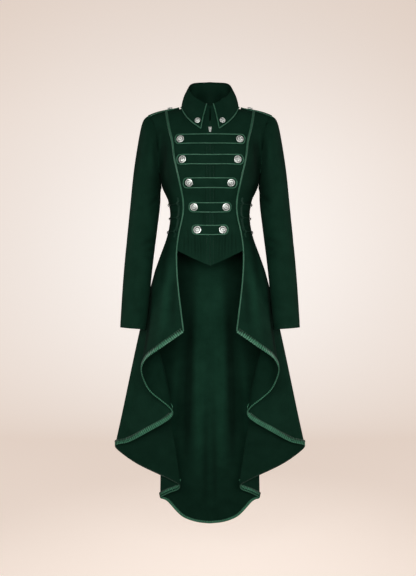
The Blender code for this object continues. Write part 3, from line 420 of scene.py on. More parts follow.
def turn_in_edges(piece):
    """Carry the edges up to the seams and roll them under a little, as seamed cloth lies."""
    moves = {}
    with mesh_of(piece) as mesh:
        for vertex in mesh.verts:
            if vertex.is_boundary:
                inner = [e for e in vertex.link_edges if not e.is_boundary] or vertex.link_edges
                beside = [edge.other_vert(vertex).co for edge in inner]
                away = vertex.co - sum(beside, Vector()) / len(beside)
                moves[vertex] = away.normalized() * TURN_REACH - vertex.normal * TURN_ROLL
        for vertex, move in moves.items():
            vertex.co += move
        mesh.to_mesh(piece.data)


def edges_of(piece, corners=()):
    """The sheet's edges, from corner to corner or all round: places, and ways out and inward."""
    seen, edges = set(), []
    with mesh_of(piece) as mesh:
        starts = list(corners) + [vertex.index for vertex in mesh.verts if vertex.is_boundary]
        for start in starts:
            vertex = mesh.verts[start]
            for edge in [e for e in vertex.link_edges if e.is_boundary and e not in seen]:
                run, here = [vertex], vertex
                while edge not in seen:
                    seen.add(edge)
                    here = edge.other_vert(here)
                    run.append(here)
                    if here.index in corners or here is vertex:
                        break
                    edge = next(e for e in here.link_edges if e.is_boundary and e is not edge)
                if len(run) > 1:
                    edges.append(as_edge(run))
    return edges


def as_edge(run):
    """An edge's places, its outward directions and its directions into the cloth."""
    places = np.array([vertex.co[:] for vertex in run])
    outward = np.array([vertex.normal[:] for vertex in run])
    inward = []
    for vertex in run:
        across = [e.other_vert(vertex) for e in vertex.link_edges if not e.is_boundary]
        inward.append(sum([other.co - vertex.co for other in across], Vector())[:])
    inward = np.array(inward) + 1e-12
    if run[0] is not run[-1]:
        inward[0], inward[-1] = inward[1], inward[-2]
    along = unit(np.gradient(places, axis=0))
    inward -= outward * (inward * outward).sum(axis=1)[:, None]
    inward -= along * (inward * along).sum(axis=1)[:, None]
    return Edge(places, outward, unit(inward))


def crease(piece, path, width, depth):
    """Press a soft trough along a path, or raise a ridge where depth is below zero, with painted
    shade in the trough and a painted highlight on the ridge.
    """
    places, outward = points_of(piece), rows_of(piece.data.vertex_normals, "vector")
    path = [np.array(point) for point in path]
    lengths = [np.linalg.norm(b - a) for a, b in zip(path, path[1:])]
    total, gone = sum(lengths), 0.0
    nearest = np.full(len(places), 1e9)
    share = np.zeros(len(places))
    for a, b, length in zip(path, path[1:], lengths):
        t = ((places - a) @ (b - a) / length**2).clip(0, 1)
        away = np.linalg.norm(places - a - t[:, None] * (b - a), axis=1)
        closer = away < nearest
        nearest[closer] = away[closer]
        share[closer] = (gone + t[closer] * length) / total
        gone += length
    fade = np.sin(np.pi * share.clip(CREASE_ENDS, 1 - CREASE_ENDS)) ** CREASE_FADE
    press = depth * fade * np.exp(-((nearest / width) ** 2))
    settle(piece, -outward * press[:, None])
    darken(piece, lambda _: press / FULL_SHADE_DEPTH)


def darken(piece, shade_at, turned_over=False):
    """Paint shade on the cloth by its place: painted shade above zero, painted highlight below.
    Points turned over swap painted shade and painted highlight first.
    """
    if "painted_shade" not in piece.data.attributes:
        piece.data.attributes.new("painted_shade", "FLOAT", "POINT")
    places = points_of(piece)
    painted_shade = np.empty(len(places))
    piece.data.attributes["painted_shade"].data.foreach_get("value", painted_shade)
    painted_shade = np.where(turned_over, -painted_shade, painted_shade) + shade_at(places)
    piece.data.attributes["painted_shade"].data.foreach_set("value", painted_shade)


def surface_of(*pieces):
    """The pieces' faces together, to lay others on."""
    places, faces = [], []
    for piece in pieces:
        start = len(places)
        places += [vertex.co.copy() for vertex in piece.data.vertices]
        faces += [[start + i for i in polygon.vertices] for polygon in piece.data.polygons]
    return BVHTree.FromPolygons(places, faces)


def laid_path(surface, spots, toward, steps=PATH_STEPS):
    """Points on a surface under a line of spots, seen along a direction."""
    toward = Vector(toward)
    path = []
    for a, b in zip(spots, spots[1:]):
        path += [Vector(a).lerp(Vector(b), k / steps) for k in range(steps)]
    path.append(Vector(spots[-1]))
    hits = [surface.ray_cast(spot - toward, toward)[0] for spot in path]
    return [hit for hit in hits if hit]


def thicken(piece, thickness=CLOTH_THICKNESS, shade_inside=None):
    """Give the sheet its thickness. On the inner face the painted shade of its folds is turned the
    other way round, and a painted shade of its own is added there.
    """
    outer = points_of(piece)
    make_active(piece)
    wall = piece.modifiers.new("thickness", "SOLIDIFY")
    wall.thickness = thickness
    wall.offset = -1.0
    bpy.ops.object.modifier_apply(modifier="thickness")
    bpy.ops.object.shade_smooth_by_angle(angle=SHARP_EDGE)
    count = len(outer)
    first_is_outer = np.abs(points_of(piece)[:count] - outer).max() < 0.1 * thickness
    is_inner = np.zeros(len(piece.data.vertices), bool)
    is_inner[count:] = first_is_outer
    is_inner[:count] = not first_is_outer
    shade_inside = shade_inside or (lambda places: 0.0)
    darken(piece, lambda places: np.where(is_inner, shade_inside(places), 0.0), is_inner)


def in_hollows(finish, colour, change):
    """The colour, darkened by painted shade in the cloth's hollows and lightened by a painted
    highlight on its ridges.
    """
    painted_shade = add_node(finish, "Attribute", attribute_name="painted_shade")
    depth = add_node(
        finish, "MapRange", Value=painted_shade,
        From_Min=-1.0, From_Max=1.0, To_Min=1 + change, To_Max=1 - change,
    )
    return add_node(finish, "HueSaturation", Value=depth, Color=colour)


def coating_cloth(name, dark, light):
    """Matt twill-woven coating: a slight mottle in the dye, fine slanting threads, a soft nap, and
    painted shade in its hollows with a painted highlight on its ridges.
    """
    made, shader, place = new_finish(name)
    mottle = add_node(
        made, "TexNoise", Vector=place["Object"], Scale=24.0, Detail=5.0, Roughness=0.6
    )
    fleck = add_node(made, "TexNoise", Vector=place["UV"], Scale=420.0, Detail=2.0)
    twill = add_node(
        made, "TexWave", Vector=place["UV"], bands_direction="DIAGONAL",
        Scale=math.tau / (20 * TWILL_PITCH), Distortion=1.2,
    )
    uneven = add_node(made, "Mix", Factor=0.45, A=mottle, B=fleck)
    dye = dyed(made, uneven, dark, light, 0.36, 0.64)
    threads = add_node(made, "Bump", Height=twill, Strength=0.35, Distance=0.00025)
    feed(
        made, shader, Specular_IOR_Level=0.03,
        Sheen_Weight=0.006, Sheen_Roughness=0.45, Sheen_Tint=(0.45, 0.75, 0.60, 1.0),
        Base_Color=in_hollows(made, dye, 0.5),
        Roughness=add_node(made, "MapRange", Value=fleck, To_Min=0.72, To_Max=0.88),
        Normal=add_node(made, "Bump", Height=fleck, Normal=threads, Strength=0.25, Distance=0.0006),
    )
    return made


def sew_in(piece, look, slot, *nodes):
    """Give a piece its finish and its place in the coat, for the nodes that it stands for."""
    piece.data.materials.clear()
    piece.data.materials.append(look)
    if nodes:
        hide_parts(*nodes)
    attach(piece, "coat")


SIDES = (("left", -1), ("right", 1))
coating = coating_cloth("green_coating", CLOTH_DARK, CLOTH_LIGHT)
fronts = []
for side, sign in SIDES:
    piece, _ = laid_out(f"centre_front_{side}", 4)
    surface = surface_of(piece)
    for top_x, foot_x, top, foot, width, depth in VEST_PLEATS:
        spots = [(sign * top_x, 0, top), (sign * foot_x, 0, foot)]
        crease(piece, laid_path(surface, spots, FROM_THE_FRONT, PLEAT_STEPS), width, depth)
    turn_in_edges(piece)
    fronts.append(piece)
vest_surface = surface_of(*fronts)
for piece, (side, sign) in zip(fronts, SIDES):
    thicken(piece)
    sew_in(piece, coating, "cloth", f"centre_front_{side}")


# Side fronts: each runs from the shoulder seam past the waist into a front skirt that swings out in
# a flute. The cloth hollows beside the armhole, and small puckers draw the waist in.
FROM_THE_SIDE = (-1, 0, 0)
LEFT_FOLDS_LOWER = 0.004
# Each fold on the right half: its spots as they are seen, its width and its depth, below zero for a
# ridge. A spot is how far out it lies, or how far back if seen from the side, and its height.
SIDE_FRONT_FOLDS = {
    FROM_THE_FRONT: [
        ([(0.134, -0.112), (0.141, -0.165), (0.149, -0.224)], 0.0100, 0.0026),
        ([(0.146, -0.070), (0.150, -0.125), (0.151, -0.180)], 0.0060, -0.0011),
        ([(0.092, -0.289), (0.112, -0.285), (0.126, -0.279)], 0.0048, 0.0010),
        ([(0.089, -0.308), (0.107, -0.311), (0.121, -0.307)], 0.0040, 0.0012),
        ([(0.086, -0.327), (0.104, -0.325), (0.118, -0.329)], 0.0048, 0.0009),
        ([(0.087, -0.346), (0.101, -0.350), (0.115, -0.347)], 0.0042, 0.0012),
        ([(0.090, -0.367), (0.106, -0.366), (0.117, -0.371)], 0.0050, 0.0009),
        ([(0.096, -0.391), (0.110, -0.395), (0.121, -0.392)], 0.0052, 0.0007),
        ([(0.173, -0.530), (0.180, -0.600), (0.184, -0.657), (0.194, -0.745)], 0.0120, 0.0030),
        ([(0.112, -0.452), (0.128, -0.540), (0.139, -0.655)], 0.0150, -0.0022),
        ([(0.101, -0.500), (0.108, -0.580), (0.110, -0.648)], 0.0100, 0.0012),
    ],
    FROM_THE_SIDE: [
        ([(-0.030, -0.340), (-0.050, -0.420), (-0.078, -0.520)], 0.0120, 0.0014),
        ([(0.012, -0.420), (0.020, -0.560), (0.034, -0.740)], 0.0140, -0.0020),
    ],
}
# Each shade: the heights at which it is given, and how dark it is there
ARMHOLE_DEPTH = ([-0.31, -0.24, -0.12, -0.04], [0, 1, 0.8, 0.1])
FLUTE_SHADE = ([-1.20, -1.05, -0.80, -0.50], [0.45, 0.35, 0.1, 0.3])
# The shadow beside the armhole: how far out its middle lies, and its spread
SIDE_FRONT_SHADOW = (0.142, 0.036)
SHADOW_SHARE = 0.95


def press_folds(piece, folds, sign):
    """Press the right half's folds, or their mirror image on the left, where they lie lower."""
    surface = surface_of(piece)
    shift = 0.0 if sign > 0 else -LEFT_FOLDS_LOWER
    for toward, seen in folds.items():
        for spots, width, depth in seen:
            places = [
                (0, out, z + shift) if toward == FROM_THE_SIDE else (out * sign, 0, z + shift)
                for out, z in spots
            ]
            path = laid_path(surface, places, (toward[0] * sign, toward[1], toward[2]))
            if len(path) > 2:
                crease(piece, path, width, depth)


def by_height(shade):
    """A shade that follows the height alone."""
    return lambda places: np.interp(places[:, 2], *shade)


def armhole_shade(middle, spread):
    """The shadow that runs down beside the armhole and deepens under the arm."""
    def shade_at(places):
        beside = np.exp(-(((np.abs(places[:, 0]) - middle) / spread) ** 2))
        return SHADOW_SHARE * beside * by_height(ARMHOLE_DEPTH)(places)
    return shade_at


def height_of(edge):
    return edge.places[:, 2].mean()


def longest_first(edges):
    return sorted(edges, key=lambda edge: -len(edge.places))


hems = {"left": [], "right": []}
princess_edges = {}
waist_sides = {"left": [], "right": []}
for side, sign in SIDES:
    piece, corners = laid_out(f"side_front_{side}", 3)
    press_folds(piece, SIDE_FRONT_FOLDS, sign)
    edges = edges_of(piece, corners)
    hems[side].append(min(edges, key=height_of))
    long_edges = longest_first(edges)[:3]
    princess_edges[side] = min(long_edges, key=lambda edge: abs(edge.places[:, 0]).min())
    turn_in_edges(piece)
    waist_sides[side].append(piece)
    # Painted shadow beside the armhole, deepest under the arm
    darken(piece, armhole_shade(*SIDE_FRONT_SHADOW))
    # Painted shade inside the skirt: dark beside the edges of the flutes, and darker toward the hem
    thicken(piece, shade_inside=by_height(FLUTE_SHADE))
    sew_in(piece, coating, "cloth", f"side_front_{side}")


# Side backs and backs: the panels that fall from the shoulder seams into the side and back flutes
# and the long tail. They meet in a seam that lies in a valley of the skirt, and in a middle seam.
SIDE_BACK_CUT = ((0.26, 1.16), 0.0961)
BACK_CUT = ((0.26, 1.36), 0.2476)
FROM_BEHIND = (0, -1, 0)
SIDE_BACK_FOLDS = {
    FROM_THE_SIDE: [
        ([(0.022, -0.120), (0.028, -0.165), (0.024, -0.225)], 0.0100, 0.0020),
        ([(0.010, -0.298), (0.030, -0.294), (0.048, -0.290)], 0.0046, 0.0010),
        ([(0.012, -0.322), (0.034, -0.326), (0.052, -0.321)], 0.0042, 0.0012),
        ([(0.008, -0.344), (0.030, -0.341), (0.046, -0.346)], 0.0050, 0.0009),
        ([(0.014, -0.368), (0.034, -0.371), (0.050, -0.366)], 0.0046, 0.0011),
        ([(0.046, -0.520), (0.062, -0.660), (0.078, -0.860)], 0.0160, -0.0024),
        ([(0.074, -0.600), (0.094, -0.760), (0.110, -0.940)], 0.0120, 0.0016),
    ],
}
BACK_FOLDS = {
    FROM_BEHIND: [
        ([(0.100, -0.080), (0.108, -0.130), (0.105, -0.190)], 0.0130, 0.0018),
        ([(0.060, -0.105), (0.070, -0.150), (0.068, -0.215)], 0.0160, -0.0016),
        ([(0.022, -0.300), (0.058, -0.305), (0.086, -0.300)], 0.0050, 0.0009),
        ([(0.030, -0.331), (0.060, -0.328), (0.092, -0.333)], 0.0044, 0.0011),
        ([(0.018, -0.356), (0.050, -0.360), (0.078, -0.357)], 0.0052, 0.0009),
        ([(0.034, -0.384), (0.062, -0.381), (0.088, -0.386)], 0.0050, 0.0008),
        ([(0.030, -0.520), (0.034, -0.760), (0.036, -1.120)], 0.0150, 0.0024),
        ([(0.056, -0.580), (0.066, -0.800), (0.074, -1.100)], 0.0130, -0.0020),
        ([(0.088, -0.640), (0.112, -0.860), (0.128, -1.090)], 0.0140, 0.0018),
        ([(0.012, -0.900), (0.014, -1.060), (0.016, -1.230)], 0.0090, -0.0012),
    ],
}
SEAM_ALLOWANCE = 0.0034
SEAM_WAY_UNDER = 0.0024
SEAM_REACH = 0.0035
# The tail's shade inside: how far out it is given, and how dark it is there, its share down the
# heights, and what is added toward the hem
TAIL_ACROSS = ([0.0, 0.030, 0.056, 0.10, 0.16], [-0.9, -0.7, 0.35, 0.75, 0.5])
TAIL_SHARE = ([-1.10, -0.95, -0.55], [0.05, 0.55, 1.0])
TAIL_HEM = ([-1.25, -1.0, -0.8], [0.25, 0.1, 0.0])


def carry_edge(piece, edge, beyond, under, reach):
    """Carry a sheet on beyond one of its edges, and under what it is sewn to."""
    away = np.linalg.norm(points_of(piece)[:, None] - edge.places[None], axis=2)
    share = np.clip(1 - away.min(axis=1) / reach, 0, 1)[:, None]
    way = edge.inward * beyond + edge.outward * under
    settle(piece, -way[away.argmin(axis=1)] * share)


def tail_shade(places):
    """Inside the tail the middle catches the light, and the folds at its sides lie dark."""
    across = np.interp(np.abs(places[:, 0]), *TAIL_ACROSS)
    return across * by_height(TAIL_SHARE)(places) + by_height(TAIL_HEM)(places)


PANELS = (("side_back", SIDE_BACK_FOLDS, SIDE_BACK_CUT), ("back", BACK_FOLDS, BACK_CUT))
for side, sign in SIDES:
    for panel, folds, cut in PANELS:
        piece, corners = laid_out(f"{panel}_{side}", 3)
        press_folds(piece, folds, sign)
        edges = longest_first(edges_of(piece, corners))
        hems[side].append(min(edges, key=height_of))
        turn_in_edges(piece)
        if panel == "side_back":
            waist_sides[side].append(piece)
            for seam in edges[:2]:
                carry_edge(piece, seam, SEAM_ALLOWANCE, SEAM_WAY_UNDER, SEAM_REACH)
        # Painted light and shade on the inner face: a painted highlight down the middle of the
        # tail, painted shade on the folds at its sides and toward the hem
        thicken(piece, shade_inside=tail_shade)
        sew_in(piece, coating, "cloth", f"{panel}_{side}")


# Sleeves: one-piece sleeves, set smoothly into the armholes, with the seam under the arm. They bend
# a little at the elbow, where shallow creases lie, and each cuff is turned up and stitched once.
ARMPIT = Vector((0.1450, 0, -0.2346))
INNER_CUFF = Vector((0.1880, -0.0510, -0.6590))
CUFF_STITCH_INSET = 0.0105
CUFF_GROOVE = (0.0022, 0.0005)
STITCH_PITCH = 0.0034
STITCH_LENGTH = 0.0027
STITCH_THICK = 0.0006
STITCH_SUNK = 0.0002
CUFF_STITCH_SUNK = 0.0004
THREAD_COLOUR = (0.007, 0.030, 0.019, 1.0)
THREAD_SHADES = (0.6, 1.3)
SLEEVE_SHADOW = (0.155, 0.027)
SLEEVE_FOLDS = {
    FROM_THE_FRONT: [
        ([(0.165, -0.388), (0.182, -0.395), (0.204, -0.406)], 0.0070, 0.0014),
        ([(0.166, -0.414), (0.180, -0.421), (0.197, -0.424)], 0.0062, 0.0016),
        ([(0.170, -0.444), (0.184, -0.441), (0.199, -0.436)], 0.0070, 0.0012),
        ([(0.155, -0.262), (0.166, -0.274), (0.182, -0.292)], 0.0070, 0.0013),
        ([(0.158, -0.290), (0.168, -0.302), (0.180, -0.318)], 0.0070, 0.0009),
        ([(0.172, -0.085), (0.176, -0.135), (0.176, -0.195)], 0.0080, -0.0012),
        ([(0.192, -0.590), (0.208, -0.597), (0.226, -0.600)], 0.0070, 0.0008),
    ],
    FROM_BEHIND: [
        ([(0.167, -0.380), (0.186, -0.389), (0.212, -0.398)], 0.0068, 0.0015),
        ([(0.169, -0.409), (0.184, -0.414), (0.204, -0.416)], 0.0062, 0.0013),
        ([(0.160, -0.268), (0.172, -0.280), (0.188, -0.297)], 0.0072, 0.0012),
    ],
    FROM_THE_SIDE: [
        ([(-0.030, -0.401), (-0.010, -0.407), (0.014, -0.404)], 0.0080, 0.0008),
        ([(-0.026, -0.100), (-0.034, -0.160), (-0.032, -0.220)], 0.0100, 0.0009),
    ],
}
Shape = namedtuple("Shape", "points faces")


def how_far(places):
    """How far along its line each place lies."""
    return np.linalg.norm(np.diff(places, axis=0, prepend=places[:1]), axis=1).cumsum()


def evenly(edge, spacing):
    """The same edge, with its points evenly spaced."""
    along = how_far(edge.places)
    at = np.linspace(0, along[-1], max(3, round(along[-1] / spacing) + 1))
    parts = [np.column_stack([np.interp(at, along, part[:, k]) for k in range(3)]) for part in edge]
    return Edge(parts[0], unit(parts[1]), unit(parts[2]))


def set_in(edge, inset, sunk=0.0):
    """The same edge, moved into the cloth and sunk a little under its face."""
    places = edge.places + edge.inward * inset - edge.outward * sunk
    return Edge(places, edge.outward, edge.inward)


def small_body(segments, rings, half_sizes):
    """The points and faces of a small rounded body, to be repeated along a line."""
    bpy.ops.mesh.primitive_uv_sphere_add(segments=segments, ring_count=rings, radius=1.0)
    body = bpy.context.object
    with editing(body):
        bpy.ops.transform.resize(value=half_sizes)
    shape = Shape(points_of(body), [tuple(face.vertices) for face in body.data.polygons])
    bpy.data.objects.remove(body)
    return shape


def repeated(name, shape, places, along, outward):
    """One piece made of copies of a small shape, each set along its line and facing out."""
    along, outward = unit(along), unit(outward)
    across = np.cross(outward, along)
    turns = np.stack([across, outward, along], axis=1)
    points = np.einsum("pk,nkc->npc", shape.points, turns) + places[:, None, :]
    size = len(shape.points)
    copies = range(len(places))
    faces = [tuple(size * i + k for k in face) for i in copies for face in shape.faces]
    data = bpy.data.meshes.new(name)
    data.from_pydata(points.reshape(-1, 3).tolist(), [], faces)
    piece = new_piece(name, data)
    bpy.ops.object.shade_smooth()
    return piece


def plain_thread(name, colour):
    """Twisted polyester thread: fine slanting plies with a soft shine."""
    made, shader, place = new_finish(name)
    plies = add_node(made, "TexNoise", Vector=place["Object"], Scale=1800.0, Detail=1.0)
    dark, light = [[share * c for c in colour[:3]] + [1.0] for share in THREAD_SHADES]
    feed(made, shader, Roughness=0.55, Base_Color=dyed(made, plies, dark, light))
    return made


stitch = small_body(6, 5, (STITCH_THICK / 2, STITCH_THICK / 2, STITCH_LENGTH / 2))
thread = plain_thread("green_thread", THREAD_COLOUR)


def stitch_row(name, edge, inset, sunk=STITCH_SUNK, pitch=STITCH_PITCH, look=thread):
    """A row of stitches a little way in from an edge."""
    line = evenly(set_in(edge, inset, sunk), pitch)
    piece = repeated(name, stitch, line.places, np.gradient(line.places, axis=0), line.outward)
    sew_in(piece, look, "cloth")


def seam_through(piece, start, end):
    """The seam that runs through a tube of cloth, from near one place straight towards another."""
    way = (end - start).normalized()
    seam = []
    with mesh_of(piece) as mesh:
        here = min(mesh.verts, key=lambda vertex: (vertex.co - start).length)
        while not seam or not here.is_boundary:
            ways = {e: (e.other_vert(here).co - here.co).normalized() for e in here.link_edges}
            edge = max(ways, key=lambda e: ways[e].dot(way))
            here = edge.other_vert(here)
            seam.append(edge.index)
    return seam


for side, sign in SIDES:
    piece = open_wall(f"sleeve_{side}", f"cloth_sleeve_{side}")
    mirror = Vector((sign, 1, 1))
    lay_flat(piece, seam_through(piece, ARMPIT * mirror, INNER_CUFF * mirror))
    smooth_through(piece, 3)
    press_folds(piece, SLEEVE_FOLDS, sign)
    cuff = min(edges_of(piece), key=height_of)
    groove = cuff.places + cuff.inward * CUFF_STITCH_INSET
    crease(piece, list(groove) + [groove[0]], *CUFF_GROOVE)
    turn_in_edges(piece)
    stitch_row(f"cuff_stitching_{side}", cuff, CUFF_STITCH_INSET, CUFF_STITCH_SUNK)
    # Painted shadow beside the armhole, deepest under the arm
    darken(piece, armhole_shade(*SLEEVE_SHADOW))
    thicken(piece)
    sew_in(piece, coating, "cloth", f"sleeve_{side}")


# Collar: a stand sewn round the neckline, and a leaf that folds over its top edge and falls to two
# points at the front. Both are two layers of the coating with a firm interlining between them.
LAID_WALL = 0.0016
STAND_THICKNESS = 0.0018
STAND_SHADE = ([0.0, 0.045, 0.075], [0.95, 0.6, 0.15])
NECK_ALLOWANCE = 0.0090
NECK_ALLOWANCE_WAY_IN = 0.0022
ALLOWANCE_REACH = 0.024
TOP_RISE = 0.0008
TOP_ROLL = 0.0026
TOP_REACH = 0.008
LEAF_SETTLE = 0.0030
# How the leaf's sides settle: where it starts and how far out it is full, and the same in height
SETTLE_OUT = (0.060, 0.020)
SETTLE_HEIGHT = (0.045, 0.040)

stand, corners = laid_out("collar_stand", 3)
# The stand's lower edge reaches down inside the neckline, and its top rolls out under the leaf
neckline, top = sorted(longest_first(edges_of(stand, corners))[:2], key=height_of)
carry_edge(stand, neckline, NECK_ALLOWANCE, NECK_ALLOWANCE_WAY_IN, ALLOWANCE_REACH)
carry_edge(stand, top, TOP_RISE, -TOP_ROLL, TOP_REACH)
# Painted shade on the stand's inner face, darkest at its foot
thicken(stand, STAND_THICKNESS, by_height(STAND_SHADE))
sew_in(stand, coating, "cloth", "collar_stand")
leaf, corners = laid_out("collar_leaf", 3, LAID_WALL)
# The leaf's sides settle on to the shoulders
x, _, z = points_of(leaf).T
outward_share = np.clip((np.abs(x) - SETTLE_OUT[0]) / SETTLE_OUT[1], 0, 1)
drop = outward_share * np.clip((SETTLE_HEIGHT[0] - z) / SETTLE_HEIGHT[1], 0, 1)
settle(leaf, np.outer(drop, (0, 0, -LEAF_SETTLE)))
leaf_edges = edges_of(leaf, corners)
turn_in_edges(leaf)
thicken(leaf, LAID_WALL)
sew_in(leaf, coating, "cloth", "collar_leaf")


# Piping: cords covered with bias satin. A thick one runs down each princess seam from the shoulder,
# and thinner ones edge the collar leaf. The cover is pulled round its cord in fine slanting pleats.
# The satin's dark and light tones: a random tone wanders between them, and its pleats are painted
# in them as painted shade and painted highlight
SATIN_DARK = (0.016, 0.062, 0.036, 1.0)
SATIN_LIGHT = (0.042, 0.130, 0.080, 1.0)
CORD_SIDES = 12
EDGE_CORD = (0.0016, 0.0014)
CORD_INSET = 0.0008
PRINCESS_HALF_WIDTHS = (
    [0, 0.06, 0.16, 0.30, 0.45, 0.80],
    [0.0040, 0.0039, 0.0034, 0.0025, 0.0021, 0.0020],
)
PRINCESS_HALF_HEIGHT = 0.0015
PRINCESS_SHADE = ([-0.66, -0.50, -0.24, -0.05], [0.05, 0.0, 0.0, 0.45])
PRINCESS_STEP = 0.003
EDGE_STEP = 0.002
END_TURNS = [math.radians(turn) for turn in (35, 65)]


def satin(name, dark, light, pleat_scale=160.0, pleat_way="DIAGONAL", pleat_share=0.4):
    """Smooth satin over fine threads: a tone that wanders a little, its pleats painted as painted
    shade and painted highlight, and painted shade in its hollows.
    """
    made, shader, place = new_finish(name)
    wander = add_node(made, "TexNoise", Vector=place["Object"], Scale=55.0, Detail=3.0)
    pleats = add_node(
        made, "TexWave", Vector=place["UV"], bands_direction=pleat_way,
        Scale=pleat_scale, Distortion=3.0, Detail=2.0, Detail_Scale=1.5,
    )
    mixed = add_node(made, "Mix", Factor=pleat_share, A=wander, B=pleats)
    dye = dyed(made, mixed, dark, light, 0.30, 0.72)
    weave = add_node(
        made, "TexWave", Vector=place["UV"], bands_direction="Y", Scale=900.0, Distortion=0.4
    )
    fine = add_node(made, "Bump", Height=weave, Strength=0.12, Distance=0.0001)
    feed(
        made, shader, Specular_IOR_Level=0.16, Sheen_Weight=0.03, Sheen_Roughness=0.35,
        Base_Color=in_hollows(made, dye, 0.9),
        Roughness=add_node(made, "MapRange", Value=wander, To_Min=0.34, To_Max=0.46),
        Normal=add_node(made, "Bump", Height=pleats, Normal=fine, Strength=0.30, Distance=0.0005),
    )
    return made


def flipped(edge):
    return Edge(*[part[::-1] for part in edge])


def in_one(edges):
    """Edges that follow each other, as one."""
    first, second = edges[0].places, edges[1].places[[0, -1]]
    gaps = [np.linalg.norm(first[end] - second, axis=1).min() for end in (0, -1)]
    joined = flipped(edges[0]) if gaps[0] < gaps[1] else edges[0]
    for edge in edges[1:]:
        gaps = [np.linalg.norm(edge.places[end] - joined.places[-1]) for end in (0, -1)]
        edge = flipped(edge) if gaps[1] < gaps[0] else edge
        joined = Edge(*[np.concatenate([before, after[1:]]) for before, after in zip(joined, edge)])
    return joined


def eased(edge, rounds=2):
    """The same edge with its sharp turns eased, so that a cord can follow it."""
    parts = [part.copy() for part in edge]
    for _ in range(rounds):
        for part in parts:
            part[1:-1] = part[1:-1] * 0.5 + (part[:-2] + part[2:]) * 0.25
    return Edge(parts[0], unit(parts[1]), unit(parts[2]))


def grid_mesh(name, rows, endless=False, caps=()):
    """A piece from rows of points, with UVs in metres, closed round its rows or at poles."""
    rows = np.asarray(rows)
    count, per_row = rows.shape[:2]
    looped = np.concatenate([rows, rows[:, :1]], axis=1) if endless else rows
    u = np.linalg.norm(np.diff(looped, axis=1, prepend=looped[:, :1]), axis=2).cumsum(axis=1)
    v = how_far(rows.mean(axis=1))
    columns = range(looped.shape[1] - 1)
    points = rows.reshape(-1, 3).tolist()
    quads = [
        ((i, j), (i, j + 1), (i + 1, j + 1), (i + 1, j)) for i in range(count - 1) for j in columns
    ]
    faces = [[i * per_row + j % per_row for i, j in quad] for quad in quads]
    flat = [(u[i, j], v[i]) for quad in quads for i, j in quad]
    for row, pole in caps:
        start = (row % count) * per_row
        points.append(list(pole))
        for j in columns:
            pair = (j, j + 1) if row else (j + 1, j)
            faces.append([start + k % per_row for k in pair] + [len(points) - 1])
            flat += [(u[row, k], v[row]) for k in (j, j + 1, j)]
    data = bpy.data.meshes.new(name)
    data.from_pydata(points, [], faces)
    data.uv_layers.new(name="UVMap").data.foreach_set("uv", np.ravel(flat))
    return new_piece(name, data)


def rounded_end(row, tip):
    """The smaller and smaller rows that round off a cord's end, and its pole."""
    middle = row.mean(axis=0)
    rows = [middle + (row - middle) * math.cos(turn) + tip * math.sin(turn) for turn in END_TURNS]
    return rows, middle + tip


def cord(name, edge, half_width, half_height, endless=False):
    """A cord that lies on the cloth along an edge, flat where it rests, with rounded ends."""
    places, outward = edge.places, edge.outward
    if endless:
        along = unit(np.roll(places, -1, axis=0) - np.roll(places, 1, axis=0))
    else:
        along = unit(np.gradient(places, axis=0))
    outward = unit(outward - along * (outward * along).sum(axis=1)[:, None])
    across = np.cross(along, outward) * np.broadcast_to(half_width, len(places))[:, None]
    rows = np.stack([
        places + across * math.cos(turn) + outward * half_height * (1 + math.sin(turn))
        for turn in np.arange(CORD_SIDES) / CORD_SIDES * math.tau
    ], axis=1)
    caps = ()
    if endless:
        rows = np.concatenate([rows, rows[:1]])
    else:
        first, first_pole = rounded_end(rows[0], -along[0] * half_height)
        last, last_pole = rounded_end(rows[-1], along[-1] * half_height)
        rows = np.concatenate([first[::-1], rows, last])
        caps = ((0, first_pole), (-1, last_pole))
    piece = grid_mesh(name, rows, True, caps)
    with editing(piece):
        if endless:
            bpy.ops.mesh.remove_doubles(threshold=0.000001)
        bpy.ops.mesh.normals_make_consistent(inside=False)
    bpy.ops.object.shade_smooth()
    return piece


def trimmed(edge, start, end):
    """An edge without a short length at each end."""
    return Edge(*[part[start : len(part) - end] for part in edge])


green_satin = satin("green_satin", SATIN_DARK, SATIN_LIGHT)
for side, sign in SIDES:
    line = eased(evenly(princess_edges[side], PRINCESS_STEP))
    if line.places[0, 2] < line.places[-1, 2]:
        line = flipped(line)
    line = trimmed(line, 1, 1)
    widths = np.interp(how_far(line.places), *PRINCESS_HALF_WIDTHS)
    piece = cord(f"princess_piping_{side}", line, widths, PRINCESS_HALF_HEIGHT)
    # Painted shade on the piping, darkest near the shoulder
    darken(piece, by_height(PRINCESS_SHADE))
    sew_in(piece, green_satin, "satin", f"piping_{side}")
fold = max(leaf_edges, key=height_of)
bottom, *ends = longest_first([edge for edge in leaf_edges if edge is not fold])
left_front, right_front = sorted(ends, key=lambda edge: edge.places[:, 0].mean())
outline = set_in(in_one([left_front, bottom, right_front]), CORD_INSET)
piece = cord("collar_cord", eased(evenly(outline, EDGE_STEP)), *EDGE_CORD)
sew_in(piece, green_satin, "satin", "collar_piping")


# Hem binding: a satin strip cut on the bias. It is stitched to the right side of the skirt's hem,
# turned over the edge and caught down inside, and the stitches draw it into fine puckers all round.
BINDING_SPACING = 0.0015
BINDING_THICKNESS = 0.0005
# Each row across the strip: how far into the cloth, how far outward, and its share of the puckers
BINDING_ROWS = [
    (0.0145, 0.0003, 0.2),
    (0.0130, 0.0007, 0.9),
    (0.0100, 0.0009, 1.0),
    (0.0065, 0.0010, 0.8),
    (0.0030, 0.0010, 0.5),
    (0.0008, 0.0010, 0.2),
    (-0.0006, 0.0006, 0.0),
    (-0.0012, -0.0006, 0.0),
    (-0.0006, -0.0019, 0.0),
    (0.0015, -0.0022, 0.2),
    (0.0045, -0.0021, 0.6),
    (0.0070, -0.0019, 0.2),
]
PUCKER_HEIGHT = 0.0011
PUCKER_SHADE = 0.5
PUCKER_LENGTHS = (0.0071, 0.0113, 0.0046)
